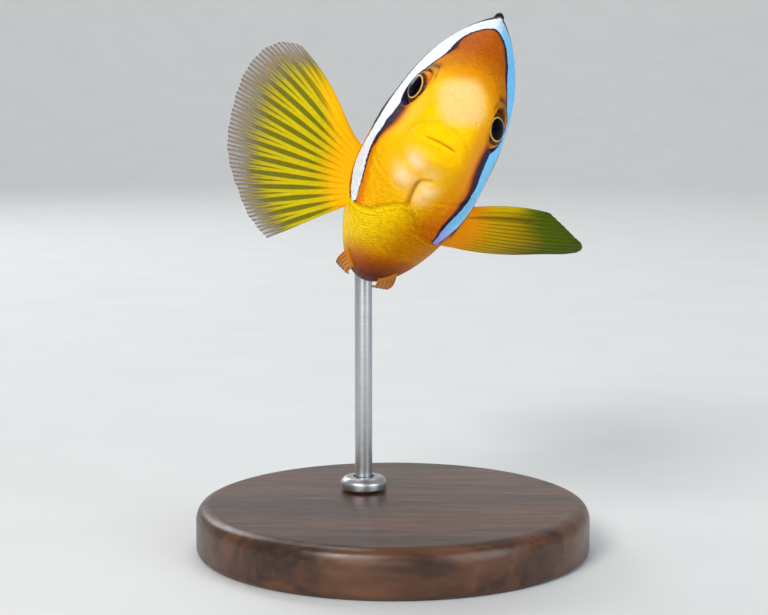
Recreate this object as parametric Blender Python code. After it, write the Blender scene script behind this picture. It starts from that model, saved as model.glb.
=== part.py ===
"""Clark's anemonefish (clownfish), life size, held still on a plain display stand.

The fish is modelled in its own frame and then posed as a whole on the stand:
x runs to the fish's left, y runs back from the tip of the snout, z runs up its back.
Sizes are in millimetres and are turned into metres when each mesh is made.
"""

import math

import bmesh
import bpy
import numpy as np
from mathutils import Matrix, Vector

MM = 0.001

# Driving sizes of the fish, in millimetres.
BODY_LENGTH = 81.0
GAP = 0.3
RINGS = 34
SIDES = 32
SNOUT_CROWDING = 0.8
WALL_STEPS = 3

# Profiles of the body: distance behind the snout, then the size there.
BACK_LINE = ((0, 0.3), (1, 4.6), (3, 8.7), (6, 13.2), (10, 18.0), (14, 21.7), (18, 24.3), (22, 25.9),
             (27, 26.6), (36, 25.8), (45, 23.1), (55, 18.0), (65, 11.8), (73, 8.0), (81, 7.1))
BELLY_LINE = ((0, 0.3), (1, -2.4), (3, -3.9), (7, -6.2), (12, -10.0), (18, -14.6), (24, -18.2), (30, -20.1),
              (37, -20.4), (46, -18.6), (54, -15.2), (62, -11.2), (70, -7.8), (76, -6.6), (81, -6.6))
HALF_WIDTH = ((0, 0), (1, 3.2), (3, 4.9), (6, 6.3), (10, 7.8), (15, 9.2), (20, 9.9), (27, 9.8),
              (35, 9.1), (45, 7.7), (55, 5.6), (65, 3.5), (73, 2.1), (81, 1.2))
WIDEST_LEVEL = ((0, 0.3), (3, 0.0), (10, -1.0), (20, -2.0), (35, -1.5), (55, 0.5), (81, 0.3))
RIDGE_POWER = ((0, 2.6), (6, 3.2), (10, 3.2), (22, 2.6), (40, 2.4), (81, 2.2))
RIDGE_SHARPNESS = ((0, 0.5), (6, 0.55), (10, 0.6), (22, 0.8), (40, 0.8), (81, 0.7))

# Thin cuts that part the body, as curves through (y, z) points.
CHEEK_CUT = ((16.4, 8.4), (14.1, 3.6), (12.7, -1.0), (10.9, -5.2), (8.2, -7.8), (6.6, -10.8))
GILL_CUT = ((15.6, 8.3), (16.4, 8.4), (21.0, 6.6), (24.2, 1.5), (24.0, -4.5), (21.2, -10.2), (17.2, -13.0), (14.8, -16.5))
NAPE_CUT = ((16.4, 8.4), (18.2, 17.0), (20.5, 32.0))
TAIL_CUT = ((65.0, 20.0), (67.0, 0.0), (65.5, -20.0))

# Roughly where the middle (y, z) of each parted piece lies, by which it gets its name.
PIECE_MIDDLES = {"gill_cover": (16.0, -3.5), "head": (10.0, 10.0), "trunk": (40.0, 3.0), "tail_stem": (74.0, 1.5)}

# The lower jaw seen from the front: half its outline from the middle of the mouth down to the throat.
JAW_OUTLINE = ((0.0, 0.35), (1.2, 0.2), (2.3, -0.25), (2.9, -1.8), (2.2, -3.8), (0.9, -5.4), (0.0, -6.4))
JAW_REACH = 6.4

# Eyes: where the head carries them, how large they are and where they look.
EYE_BACK = 8.7
EYE_LEVEL = 7.3
EYE_RADIUS = 2.95
EYE_DEPTH = 1.9
EYE_SINK = 1.5
EYE_FORWARD = math.radians(36.0)
EYE_LIFT = math.radians(4.0)
EYE_LEVELLING = math.radians(11.0)

# Fins: thickness at root and edge, extra height of a ray over the membrane, cut of the membrane at the edge.
FIN_ROOT = 1.1
FIN_EDGE = 0.55
RAY_RIDGE = 0.12
SCALLOP = 0.012

# How the fish hangs on its stand, and the stand.
BANK = math.radians(28.1)
NOSE_UP = math.radians(8.3)
TURN = math.radians(4.0)
ROD_POINT = (0.0, 46.0, -18.5)
ROD_POINT_HEIGHT = 46.0
ROD_PLACE = (-5.0, 8.0)
ROD_RADIUS = 1.5
ROD_DEPTH_IN_FISH = 9.0
ROD_DEPTH_IN_BASE = 5.0
BASE_RADIUS = 33.0
BASE_HEIGHT = 8.0
COLLAR_RADIUS = 4.0
COLLAR_HEIGHT = 2.2


def cubic(knots, values):
    """Return the natural cubic spline through the knots as a function."""
    x = np.asarray(knots, dtype=float)
    y = np.asarray(values, dtype=float)
    if y.ndim == 1:
        y = y[:, None]
    count = len(x)
    step = np.diff(x)
    matrix = np.eye(count)
    right = np.zeros_like(y)
    for i in range(1, count - 1):
        matrix[i, i - 1:i + 2] = (step[i - 1], 2 * (step[i - 1] + step[i]), step[i])
        right[i] = 6 * ((y[i + 1] - y[i]) / step[i] - (y[i] - y[i - 1]) / step[i - 1])
    bend = np.linalg.solve(matrix, right)

    def at(t):
        i = int(np.clip(np.searchsorted(x, t) - 1, 0, count - 2))
        h = step[i]
        a = (x[i + 1] - t) / h
        b = (t - x[i]) / h
        cube = ((a ** 3 - a) * bend[i] + (b ** 3 - b) * bend[i + 1]) * h * h / 6
        return a * y[i] + b * y[i + 1] + cube

    return at


def profile(points):
    """Return a body profile as a function of the distance behind the snout, blunt at the snout."""
    curve = cubic([math.sqrt(p[0]) for p in points], [p[1] for p in points])
    return lambda s: float(curve(math.sqrt(max(s, 0.0)))[0])


def knot_shares(points):
    """Return how far along a route each of its points lies, as shares 0..1."""
    steps = np.linalg.norm(np.diff(np.asarray(points, dtype=float), axis=0), axis=1)
    return np.r_[0, np.cumsum(steps)] / steps.sum()


def route(points):
    """Return a smooth curve through points, as a function of 0..1."""
    curve = cubic(knot_shares(points), points)
    return lambda t: Vector(curve(t))


BACK_AT = profile(BACK_LINE)
BELLY_AT = profile(BELLY_LINE)
HALF_WIDTH_AT = profile(HALF_WIDTH)
WIDEST_AT = profile(WIDEST_LEVEL)
RIDGE_POWER_AT = profile(RIDGE_POWER)
RIDGE_SHARPNESS_AT = profile(RIDGE_SHARPNESS)


def body_point(s, angle):
    """Return the skin's point s behind the snout, at an angle from the back down the left side."""
    level = WIDEST_AT(s)
    half = max(HALF_WIDTH_AT(s), 0.0)
    power = RIDGE_POWER_AT(s)
    sharpness = RIDGE_SHARPNESS_AT(s)
    up = math.cos(angle)
    reach = min(abs(up), 1.0)
    side = math.copysign(1.0, math.sin(angle))
    if up >= 0:
        x = half * (1 - reach ** power) ** sharpness
        z = level + (BACK_AT(s) - level) * reach
    else:
        x = half * math.sqrt(1 - reach ** 2)
        z = level + (BELLY_AT(s) - level) * reach
    return Vector((side * x, s, z))


def station(share):
    """Return how far behind the snout a share 0..1 of the body's rings lies, crowded at the snout."""
    return BODY_LENGTH * (SNOUT_CROWDING * share ** 2 + (1 - SNOUT_CROWDING) * share)


def side_point(s, z, side=1):
    """Return the point of the flank at a given level above the widest one."""
    level = WIDEST_AT(s)
    here = body_point(s, math.acos((z - level) / (BACK_AT(s) - level)))
    return here * Vector((side, 1, 1))


def mesh_object(name, bm):
    """Turn a bmesh in millimetres into an object in metres."""
    bmesh.ops.recalc_face_normals(bm, faces=bm.faces)
    bmesh.ops.scale(bm, vec=(MM, MM, MM), verts=bm.verts)
    mesh = bpy.data.meshes.new(name)
    bm.to_mesh(mesh)
    bm.free()
    made = bpy.data.objects.new(name, mesh)
    bpy.context.scene.collection.objects.link(made)
    return made


def body_mesh(swell=0.0):
    """Return the whole body as one closed bmesh, swollen outward by a margin."""
    bm = bmesh.new()
    snout = bm.verts.new(body_point(0, 0))
    rings = []
    for i in range(1, RINGS + 1):
        s = station(i / RINGS)
        rings.append([bm.verts.new(body_point(s, 2 * math.pi * k / SIDES)) for k in range(SIDES)])
    for k in range(SIDES):
        after = (k + 1) % SIDES
        bm.faces.new((snout, rings[0][after], rings[0][k]))
        for near, far in zip(rings, rings[1:]):
            bm.faces.new((near[k], near[after], far[after], far[k]))
    bm.faces.new(rings[-1])
    bmesh.ops.recalc_face_normals(bm, faces=bm.faces)
    bm.normal_update()
    if swell:
        places = [v.co + v.normal * swell for v in bm.verts]
        for vert, place in zip(bm.verts, places):
            vert.co = place
        for vert in rings[-1]:
            vert.co.y = BODY_LENGTH + swell
    return bm


def cut_wall(points, across=20.0):
    """Return a thin standing wall along a (y, z) curve, wide enough to part the body from side to side.

    The wall passes exactly through the curve's own points, so that walls sharing a point meet there.
    """
    curve = route(points)
    shares = knot_shares(points)
    spots = [a + (b - a) * i / WALL_STEPS for a, b in zip(shares, shares[1:]) for i in range(WALL_STEPS)]
    spots.append(1.0)
    bm = bmesh.new()
    edges = []
    for t in spots:
        place = curve(t)
        along = (curve(min(t + 0.01, 1.0)) - curve(max(t - 0.01, 0.0))).normalized()
        offset = Vector((-along.y, along.x)) * GAP / 2
        for x in (-across, across):
            for sign in (-1, 1):
                spot = place + offset * sign
                edges.append(bm.verts.new((x, spot.x, spot.y)))
    for i in range(len(spots) - 1):
        a = edges[4 * i:4 * i + 4]
        b = edges[4 * i + 4:4 * i + 8]
        for j, k in ((0, 1), (1, 3), (3, 2), (2, 0)):
            bm.faces.new((a[j], a[k], b[k], b[j]))
    for end in (edges[:4], edges[-4:]):
        bm.faces.new((end[0], end[1], end[3], end[2]))
    return mesh_object("cut_wall", bm)


def jaw_plug(swell):
    """Return the lower jaw's outline drawn back into the head as a closed prism."""
    half = route([(x, 0, z) for x, z in JAW_OUTLINE])
    count = 10
    right = [half(i / count) for i in range(count + 1)]
    ring = right + [Vector((-p.x, 0, p.z)) for p in reversed(right[1:-1])]
    middle = Vector((0, 0, -2.6))
    ring = [p + (p - middle).normalized() * swell for p in ring]
    bm = bmesh.new()
    front = [bm.verts.new((p.x, -6.0, p.z)) for p in ring]
    back = [bm.verts.new((p.x, JAW_REACH + swell, p.z)) for p in ring]
    for i in range(len(ring)):
        after = (i + 1) % len(ring)
        bm.faces.new((front[i], front[after], back[after], back[i]))
    bm.faces.new(front)
    bm.faces.new(back)
    return mesh_object("jaw_plug", bm)


def box_object(name, low, high):
    """Return a closed box between two corners."""
    bm = bmesh.new()
    bmesh.ops.create_cube(bm, size=1.0)
    for vert in bm.verts:
        vert.co = Vector([low[i] + (high[i] - low[i]) * (vert.co[i] + 0.5) for i in range(3)])
    return mesh_object(name, bm)


def boolean(target, tool, operation):
    """Cut or keep a target by a tool, write the result into the target's mesh and drop the tool."""
    step = target.modifiers.new("cut", "BOOLEAN")
    step.operation = operation
    step.object = tool
    step.solver = "EXACT"
    bpy.context.view_layer.update()
    shaped = bpy.data.meshes.new_from_object(target.evaluated_get(bpy.context.evaluated_depsgraph_get()))
    target.modifiers.clear()
    target.data = shaped
    bpy.data.objects.remove(tool)


def copy_object(source, name):
    """Return a new object with its own copy of a mesh."""
    made = bpy.data.objects.new(name, source.data.copy())
    bpy.context.scene.collection.objects.link(made)
    return made


def split_pieces(whole):
    """Split an object into its loose pieces and return each piece's bmesh."""
    source = bmesh.new()
    source.from_mesh(whole.data)
    left = set(source.verts)
    pieces = []
    while left:
        reached = [left.pop()]
        for vert in reached:
            for edge in vert.link_edges:
                other = edge.other_vert(vert)
                if other in left:
                    left.remove(other)
                    reached.append(other)
        inside = set(reached)
        piece = bmesh.new()
        twin = {vert: piece.verts.new(vert.co / MM) for vert in reached}
        for face in source.faces:
            if face.verts[0] in inside:
                piece.faces.new([twin[vert] for vert in face.verts])
        pieces.append(piece)
    source.free()
    bpy.data.objects.remove(whole)
    return pieces


def piece_middle(piece):
    """Return the middle of a piece's box, as (y, z)."""
    ys = [vert.co.y for vert in piece.verts]
    zs = [vert.co.z for vert in piece.verts]
    return (min(ys) + max(ys)) / 2, (min(zs) + max(zs)) / 2


def body_parts():
    """Part the body with thin cuts and return its pieces by name."""
    whole = mesh_object("body", body_mesh())
    jaw = copy_object(whole, "jaw_lower")
    boolean(jaw, jaw_plug(-GAP / 2), "INTERSECT")
    boolean(whole, jaw_plug(GAP / 2), "DIFFERENCE")
    for points in (CHEEK_CUT, GILL_CUT, NAPE_CUT, TAIL_CUT):
        boolean(whole, cut_wall(points), "DIFFERENCE")
    parts = {"jaw_lower": jaw}
    for piece in split_pieces(whole):
        middle = piece_middle(piece)
        name = min(PIECE_MIDDLES, key=lambda key: math.dist(PIECE_MIDDLES[key], middle))
        parts[name] = mesh_object(name, piece)
    block = parts.pop("gill_cover")
    for name, low, high in (("gill_cover_left", GAP / 2, 30), ("gill_cover_right", -30, -GAP / 2)):
        half = copy_object(block, name)
        boolean(half, box_object("half", (low, -20, -40), (high, 60, 40)), "INTERSECT")
        parts[name] = half
    bpy.data.objects.remove(block)
    return parts


def eye_seat(side):
    """Return the middle of an eye and the frame in which it lies, its own z looking out of the head."""
    lift = EYE_LIFT + side * EYE_LEVELLING
    gaze = Vector((side * math.cos(EYE_FORWARD) * math.cos(lift), -math.sin(EYE_FORWARD) * math.cos(lift),
                   math.sin(lift)))
    turn = gaze.to_track_quat("Z", "Y").to_matrix().to_4x4()
    return Matrix.Translation(side_point(EYE_BACK, EYE_LEVEL, side) - gaze * EYE_SINK) @ turn


def eye_mesh(side, swell=0.0):
    """Return an eye as a lens-shaped closed bmesh in its seat."""
    bm = bmesh.new()
    bmesh.ops.create_uvsphere(bm, u_segments=16, v_segments=8, radius=1.0)
    size = Matrix.Diagonal((EYE_RADIUS + swell, EYE_RADIUS + swell, EYE_DEPTH + swell, 1))
    bmesh.ops.transform(bm, matrix=eye_seat(side) @ size, verts=bm.verts)
    return bm


def fin_mesh(base, tips, rays, rows, bow=Vector((0, 0, 0)), bow_fade=0.0):
    """Return a fin as a thin closed plate, ridged along its rays and scalloped at its edge."""
    root = route(base)
    edge = route(tips)
    columns = 2 * rays - 1
    bm = bmesh.new()

    def place(u, v):
        sag = bow * (4 * u * (1 - u) * (1 - bow_fade * v))
        return root(v).lerp(edge(v), u) + sag

    sides = {1: [], -1: []}
    for j in range(columns):
        v = j / (columns - 1)
        on_ray = j % 2 == 0
        for i in range(rows + 1):
            u = i / rows
            reach = u * (1 - (0 if on_ray else SCALLOP * u))
            along = place(min(u + 0.02, 1.0), v) - place(max(u - 0.02, 0.0), v)
            across = place(u, min(v + 0.02, 1.0)) - place(u, max(v - 0.02, 0.0))
            outward = along.cross(across).normalized()
            half = (FIN_ROOT + (FIN_EDGE - FIN_ROOT) * u) / 2 + (RAY_RIDGE * (1 - 0.5 * u) if on_ray else 0.0)
            for side in sides:
                sides[side].append(bm.verts.new(place(reach, v) + outward * half * side))
    stride = rows + 1
    for side, verts in sides.items():
        for j in range(columns - 1):
            for i in range(rows):
                a = j * stride + i
                bm.faces.new((verts[a], verts[a + 1], verts[a + stride + 1], verts[a + stride]))
    last = (columns - 1) * stride
    rim = list(range(stride)) + [j * stride + rows for j in range(1, columns)]
    rim += [last + i for i in range(rows - 1, -1, -1)] + [j * stride for j in range(columns - 2, 0, -1)]
    for a, b in zip(rim, rim[1:] + rim[:1]):
        bm.faces.new((sides[1][a], sides[1][b], sides[-1][b], sides[-1][a]))
    return bm


def fin_on_body(name, bm):
    """Return a fin trimmed where it meets the body."""
    fin = mesh_object(name, bm)
    boolean(fin, mesh_object("swollen_body", body_mesh(GAP)), "DIFFERENCE")
    pieces = split_pieces(fin)
    largest = max(pieces, key=lambda piece: sum(face.calc_area() for face in piece.faces))
    return mesh_object(name, largest)


def median_fin(name, start, end, rays, rows, line, heights, lean, sink=1.2):
    """Return a fin on the back or belly line: heights over the line at places along its base, leaning back."""
    height_at = cubic([p[0] for p in heights], [p[1] for p in heights])
    up = 1 if line is BACK_AT else -1
    base = []
    tips = []
    steps = 8
    for i in range(steps + 1):
        s = start + (end - start) * i / steps
        tall = float(height_at(s)[0])
        foot = Vector((0, s, line(s)))
        base.append(foot - Vector((0, 0, up * sink)))
        tips.append(foot + Vector((0, lean * tall, up * tall)))
    return fin_on_body(name, fin_mesh(base, tips, rays, rows))


def dorsal_fin():
    """Return the dorsal fin: its spines half lowered, its soft rays raised."""
    heights = ((25.5, 0.9), (30, 2.1), (37, 4.2), (46, 6.0), (52, 7.2), (58, 9.6), (63, 9.0), (67, 6.0))
    return median_fin("dorsal_fin", 25.5, 67.0, 22, 4, BACK_AT, heights, 0.75)


def anal_fin():
    """Return the anal fin, two short spines and a rounded soft lobe."""
    heights = ((52, 1.6), (56, 3.4), (60, 5.4), (64, 6.2), (67, 4.6))
    return median_fin("anal_fin", 52.0, 67.0, 10, 4, BELLY_AT, heights, 0.8)


def caudal_fin():
    """Return the tail fin, its lobes a little longer than its middle."""
    base = ((0, 79.6, 6.6), (0, 79.6, 3.3), (0, 79.6, 0.2), (0, 79.6, -3.0), (0, 79.6, -6.2))
    tips = ((0, 99.5, 14.6), (0, 98.4, 7.8), (0, 97.2, 0.3), (0, 98.2, -7.0), (0, 99.0, -13.4))
    return fin_on_body("caudal_fin", fin_mesh(base, tips, 15, 5))


def pectoral_fin_right():
    """Return the right pectoral fin, spread broad across the water."""
    base = ((-8.2, 25.6, -2.9), (-8.2, 26.0, -5.2), (-7.8, 26.3, -7.8), (-6.8, 26.4, -10.6))
    tips = ((-25.9, 27.0, 7.6), (-28.4, 27.5, 7.1), (-31.0, 28.1, 4.8), (-32.1, 28.8, 1.4), (-32.0, 29.4, -3.0),
            (-31.0, 29.8, -7.8), (-29.2, 30.1, -11.9), (-26.9, 30.2, -15.1), (-23.9, 30.2, -18.0),
            (-20.5, 29.9, -20.6), (-16.6, 29.2, -22.2))
    return fin_on_body("pectoral_fin_right", fin_mesh(base, tips, 15, 5, Vector((0, -1.2, 0))))


def pectoral_fin_left():
    """Return the left pectoral fin, feathered so that it lies almost edge-on to the front."""
    base = ((8.4, 24.8, -4.0), (8.4, 25.8, -6.0), (7.9, 26.8, -8.2), (6.9, 27.6, -10.4))
    tips = ((21.7, 26.5, 2.4), (24.6, 29.0, 2.1), (27.7, 32.0, 1.7), (30.0, 35.0, 1.4), (30.2, 38.5, 0.6),
            (26.6, 41.5, -1.0))
    arch = Vector((0, -0.6, 0.8))
    return fin_on_body("pectoral_fin_left", fin_mesh(base, tips, 15, 5, arch, 2.5))


def pelvic_fin(side):
    """Return a pelvic fin folded back along the belly."""
    base = ((4.2, 27.0, -17.0), (3.2, 28.6, -18.2), (2.0, 30.0, -19.2))
    tips = ((4.9, 40.5, -19.6), (3.7, 42.4, -19.9), (2.0, 41.0, -20.4))
    mirror = Vector((side, 1, 1))
    name = "pelvic_fin_left" if side > 0 else "pelvic_fin_right"
    base = [Vector(p) * mirror for p in base]
    tips = [Vector(p) * mirror for p in tips]
    return fin_on_body(name, fin_mesh(base, tips, 6, 5, Vector((0.5 * side, 0, -0.5))))


def turned(name, outline, segments=40, place=(0.0, 0.0)):
    """Return a solid of revolution about an upright axis from an outline of (radius, height) points."""
    bm = bmesh.new()
    rings = []
    for radius, height in outline:
        steps = [2 * math.pi * k / segments for k in range(segments if radius else 1)]
        ring = [(place[0] + radius * math.cos(a), place[1] + radius * math.sin(a), height) for a in steps]
        rings.append([bm.verts.new(spot) for spot in ring])
    for low, high in zip(rings, rings[1:] + rings[:1]):
        for k in range(segments):
            after = (k + 1) % segments
            if len(low) == 1 and len(high) == 1:
                continue
            if len(low) == 1:
                bm.faces.new((low[0], high[after], high[k]))
            elif len(high) == 1:
                bm.faces.new((low[k], low[after], high[0]))
            else:
                bm.faces.new((low[k], low[after], high[after], high[k]))
    return mesh_object(name, bm)


def stand_base():
    """Return the round base with a blind hole for the rod."""
    outline = ((0, 0), (BASE_RADIUS - 0.6, 0), (BASE_RADIUS, 0.6), (BASE_RADIUS, BASE_HEIGHT - 2.0),
               (BASE_RADIUS - 0.6, BASE_HEIGHT - 0.6), (BASE_RADIUS - 2.0, BASE_HEIGHT), (0, BASE_HEIGHT))
    base = turned("stand_base", outline)
    boolean(base, turned("drill", rod_outline(GAP), 14, ROD_PLACE), "DIFFERENCE")
    return base


def stand_collar():
    """Return the small metal collar round the foot of the rod."""
    hole = ROD_RADIUS + GAP
    low = BASE_HEIGHT + GAP
    outline = ((hole, low), (COLLAR_RADIUS, low), (COLLAR_RADIUS, low + COLLAR_HEIGHT - 0.8),
               (COLLAR_RADIUS - 0.8, low + COLLAR_HEIGHT), (hole, low + COLLAR_HEIGHT))
    return turned("stand_collar", outline, 24, ROD_PLACE)


def rod_outline(swell=0.0):
    """Return the rod's outline from its foot in the base to its head inside the fish."""
    radius = ROD_RADIUS + swell
    top = ROD_POINT_HEIGHT + ROD_DEPTH_IN_FISH + swell
    foot = BASE_HEIGHT - ROD_DEPTH_IN_BASE - swell
    return (0, foot), (radius, foot), (radius, top), (0, top)


def fish_pose():
    """Return the matrix that places the fish's own frame on the stand."""
    turn = Matrix.Rotation(TURN, 4, "Z") @ Matrix.Rotation(-NOSE_UP, 4, "X") @ Matrix.Rotation(BANK, 4, "Y")
    held = turn @ (Vector(ROD_POINT) * MM)
    return Matrix.Translation(Vector((*ROD_PLACE, ROD_POINT_HEIGHT)) * MM - held) @ turn


def drill_for_rod(trunk, pose):
    """Cut the rod's socket into the belly."""
    drill = turned("drill", rod_outline(GAP), 14, ROD_PLACE)
    drill.data.transform(pose.inverted())
    boolean(trunk, drill, "DIFFERENCE")


def material(name, colour, roughness, metallic=0.0):
    """Return a Principled material."""
    made = bpy.data.materials.new(name)
    made.use_nodes = True
    shader = made.node_tree.nodes["Principled BSDF"]
    shader.inputs["Base Color"].default_value = (*colour, 1.0)
    shader.inputs["Roughness"].default_value = roughness
    shader.inputs["Metallic"].default_value = metallic
    return made


def dress(objects, finish):
    """Give objects one material and smooth shading that keeps their hard edges."""
    for item in objects:
        item.data.materials.clear()
        item.data.materials.append(finish)
        item.data.shade_smooth()
        item.data.set_sharp_from_angle(angle=math.radians(40))


def eyes(head):
    """Make both eyes and cut their sockets into the head."""
    made = []
    for name, side in (("eye_left", 1), ("eye_right", -1)):
        boolean(head, mesh_object("socket", eye_mesh(side, GAP)), "DIFFERENCE")
        made.append(mesh_object(name, eye_mesh(side)))
    return made


def main():
    """Build the fish, pose it and stand it on its base."""
    for old in list(bpy.data.objects):
        bpy.data.objects.remove(old)
    pose = fish_pose()
    parts = body_parts()
    eye_pair = eyes(parts["head"])
    drill_for_rod(parts["trunk"], pose)
    golden = [parts["head"], parts["jaw_lower"], parts["gill_cover_left"], parts["gill_cover_right"]]
    black = [parts["trunk"], parts["tail_stem"]]
    dark_fins = [dorsal_fin()]
    yellow_fins = [anal_fin(), caudal_fin(), pectoral_fin_left(), pectoral_fin_right(), pelvic_fin(1), pelvic_fin(-1)]
    dress(golden, material("orange_skin", (0.85, 0.36, 0.02), 0.45))
    dress(black, material("black_skin", (0.012, 0.010, 0.014), 0.45))
    dress(dark_fins, material("black_fin", (0.02, 0.014, 0.012), 0.5))
    dress(yellow_fins, material("yellow_fin", (0.80, 0.52, 0.03), 0.45))
    dress(eye_pair, material("eye", (0.02, 0.010, 0.012), 0.08))
    dress([stand_base()], material("dark_wood", (0.06, 0.028, 0.014), 0.35))
    rod = turned("stand_rod", rod_outline(), 14, ROD_PLACE)
    dress([rod, stand_collar()], material("steel", (0.55, 0.55, 0.56), 0.3, 1.0))
    carrier = bpy.data.objects.new("fish_pose", None)
    bpy.context.scene.collection.objects.link(carrier)
    carrier.matrix_world = pose
    for item in golden + black + dark_fins + yellow_fins + eye_pair:
        item.parent = carrier


main()
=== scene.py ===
"""Clark's anemonefish, life size, on a plain display stand: its skin, scales, fins, eyes and stand, finished.

The fish is shaped in its own frame, in millimetres: x to its left, y back from the tip of the snout,
z up its back. Each piece is then set on the stand and turned into metres as its mesh is made.
"""

import logging
import math
from collections.abc import Sequence
from dataclasses import dataclass
from enum import Enum

import bpy
import numpy as np
from mathutils import Matrix, Vector


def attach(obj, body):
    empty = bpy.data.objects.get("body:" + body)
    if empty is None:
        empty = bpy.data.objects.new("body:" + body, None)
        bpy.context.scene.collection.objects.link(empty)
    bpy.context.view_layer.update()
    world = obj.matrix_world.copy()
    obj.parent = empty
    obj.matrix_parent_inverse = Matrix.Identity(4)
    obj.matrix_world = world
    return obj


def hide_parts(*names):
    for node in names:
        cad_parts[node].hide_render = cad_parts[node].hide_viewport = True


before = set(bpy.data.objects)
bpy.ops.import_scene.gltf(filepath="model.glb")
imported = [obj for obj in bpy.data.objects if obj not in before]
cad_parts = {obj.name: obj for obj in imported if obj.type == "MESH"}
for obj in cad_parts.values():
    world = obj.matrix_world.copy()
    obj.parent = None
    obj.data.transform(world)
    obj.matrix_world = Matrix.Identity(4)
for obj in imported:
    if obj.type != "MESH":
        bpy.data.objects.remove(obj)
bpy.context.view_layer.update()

log = logging.getLogger("clownfish")

MM = 0.001
SEED = 7
TINY = 1e-12
BATCH = 20000
Array = np.ndarray
Knots = Sequence[Sequence[float]]
Place = tuple[float, float, float]
Colour = tuple[float, float, float, float]
Piece = bpy.types.Object
Socket = bpy.types.NodeSocket


class Side(Enum):
    """The fish's own sides, with the sign of x there."""

    LEFT = 1
    RIGHT = -1


class Ridge(Enum):
    """The line of the body that a middle fin grows from, with the sign of z there."""

    BACK = 1
    BELLY = -1


def paint(red: int, green: int, blue: int) -> Colour:
    """Return a paint as linear light, from its red, green and blue on a screen, each 0..255."""
    shown = [c / 255 for c in (red, green, blue)]
    return (*(((c + 0.055) / 1.055) ** 2.4 if c > 10 / 255 else c / 12.92 for c in shown), 1.0)


def smooth(low: float, high: float, value: Array) -> Array:
    """Return 0..1 as a value goes from low to high, eased at both ends."""
    t = np.clip((value - low) / (high - low), 0.0, 1.0)
    return t * t * (3 - 2 * t)


def hump(distance: Array, width: float) -> Array:
    """Return 1 at no distance, falling away softly over a width."""
    return np.exp(-((distance / width) ** 2))


def unit(vectors: Array) -> Array:
    """Return vectors at length one."""
    return vectors / np.maximum(np.linalg.norm(vectors, axis=-1, keepdims=True), TINY)


@dataclass(frozen=True)
class Spline:
    """A natural cubic spline through knots."""

    knots: Array
    values: Array
    bend: Array

    @classmethod
    def through(cls, knots: Sequence[float], values: Sequence) -> "Spline":
        """Fit the spline.

        Args:
            knots: rising places along the curve.
            values: the number or point at each knot.

        Returns:
            The fitted spline.
        """
        x = np.asarray(knots, dtype=float)
        y = np.asarray(values, dtype=float)
        y = y[:, None] if y.ndim == 1 else y
        step = np.diff(x)
        matrix = np.eye(len(x))
        right = np.zeros_like(y)
        for i in range(1, len(x) - 1):
            matrix[i, i - 1:i + 2] = (step[i - 1], 2 * (step[i - 1] + step[i]), step[i])
            right[i] = 6 * ((y[i + 1] - y[i]) / step[i] - (y[i] - y[i - 1]) / step[i - 1])
        return cls(x, y, np.linalg.solve(matrix, right))

    def at(self, place: Array) -> Array:
        """Return the curve's values at many places.

        Args:
            place: places along the curve, in any shape.

        Returns:
            The values, with one more axis than place.
        """
        place = np.asarray(place, dtype=float)
        i = np.clip(np.searchsorted(self.knots, place) - 1, 0, len(self.knots) - 2)
        h = self.knots[i + 1] - self.knots[i]
        a = ((self.knots[i + 1] - place) / h)[..., None]
        b = ((place - self.knots[i]) / h)[..., None]
        cube = ((a ** 3 - a) * self.bend[i] + (b ** 3 - b) * self.bend[i + 1]) * (h * h)[..., None] / 6
        return a * self.values[i] + b * self.values[i + 1] + cube


def route(points: Knots) -> Spline:
    """Return a smooth curve through points, over 0..1 of their length."""
    steps = np.linalg.norm(np.diff(np.asarray(points, dtype=float), axis=0), axis=1)
    return Spline.through(np.r_[0, np.cumsum(steps)] / steps.sum(), points)


def traced(points: Knots, count: int = 60) -> Array:
    """Return many points along the smooth curve through a few."""
    return route(points).at(np.linspace(0, 1, count))


def nearest(points: Array, path: Array) -> tuple[Array, Array]:
    """Find how far points lie from a chain of short straight lines.

    Args:
        points: the points, one a row.
        path: the chain's points, one a row.

    Returns:
        Each point's distance, and how many links along the chain its nearest place lies.
    """
    start = path[:-1]
    link = path[1:] - start
    length = np.maximum((link * link).sum(-1), TINY)
    away = np.empty(len(points))
    along = np.empty(len(points))
    for first in range(0, len(points), BATCH):
        part = slice(first, first + BATCH)
        reach = points[part, None, :] - start
        t = np.clip((reach * link).sum(-1) / length, 0, 1)
        gap = np.linalg.norm(reach - t[..., None] * link, axis=-1)
        best = gap.argmin(axis=1)
        rows = np.arange(len(best))
        away[part] = gap[rows, best]
        along[part] = best + t[rows, best]
    return away, along


def depth_inside(points: Array, outline: Array) -> Array:
    """Find how deep flat points lie inside a closed outline.

    Args:
        points: the points, one a row.
        outline: the outline's points, one a row.

    Returns:
        The depths, less than nothing outside the outline.
    """
    loop = np.vstack([outline, outline[:1]])
    away, _ = nearest(points, loop)
    inside = np.zeros(len(points), dtype=bool)
    for (x0, y0), (x1, y1) in zip(loop[:-1], loop[1:]):
        crossed = (y0 > points[:, 1]) != (y1 > points[:, 1])
        crossing = (x1 - x0) * (points[:, 1] - y0) / (y1 - y0 + TINY) + x0
        inside ^= crossed & (points[:, 0] < crossing)
    return np.where(inside, away, -away)


def folded_left(points: Array) -> Array:
    """Return points with those of the right side mirrored to the left."""
    return np.stack([np.abs(points[:, 0]), points[:, 1], points[:, 2]], axis=-1)


class Profile:
    """A measure of the body that changes with the distance behind the snout, blunt at the snout."""

    def __init__(self, points: Knots) -> None:
        """Fit the profile through (distance, measure) points."""
        self.curve = Spline.through([math.sqrt(p[0]) for p in points], [p[1] for p in points])

    def __call__(self, s: Array) -> Array:
        """Return the measure at distances behind the snout."""
        return self.curve.at(np.sqrt(np.maximum(s, 0)))[..., 0]


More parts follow.
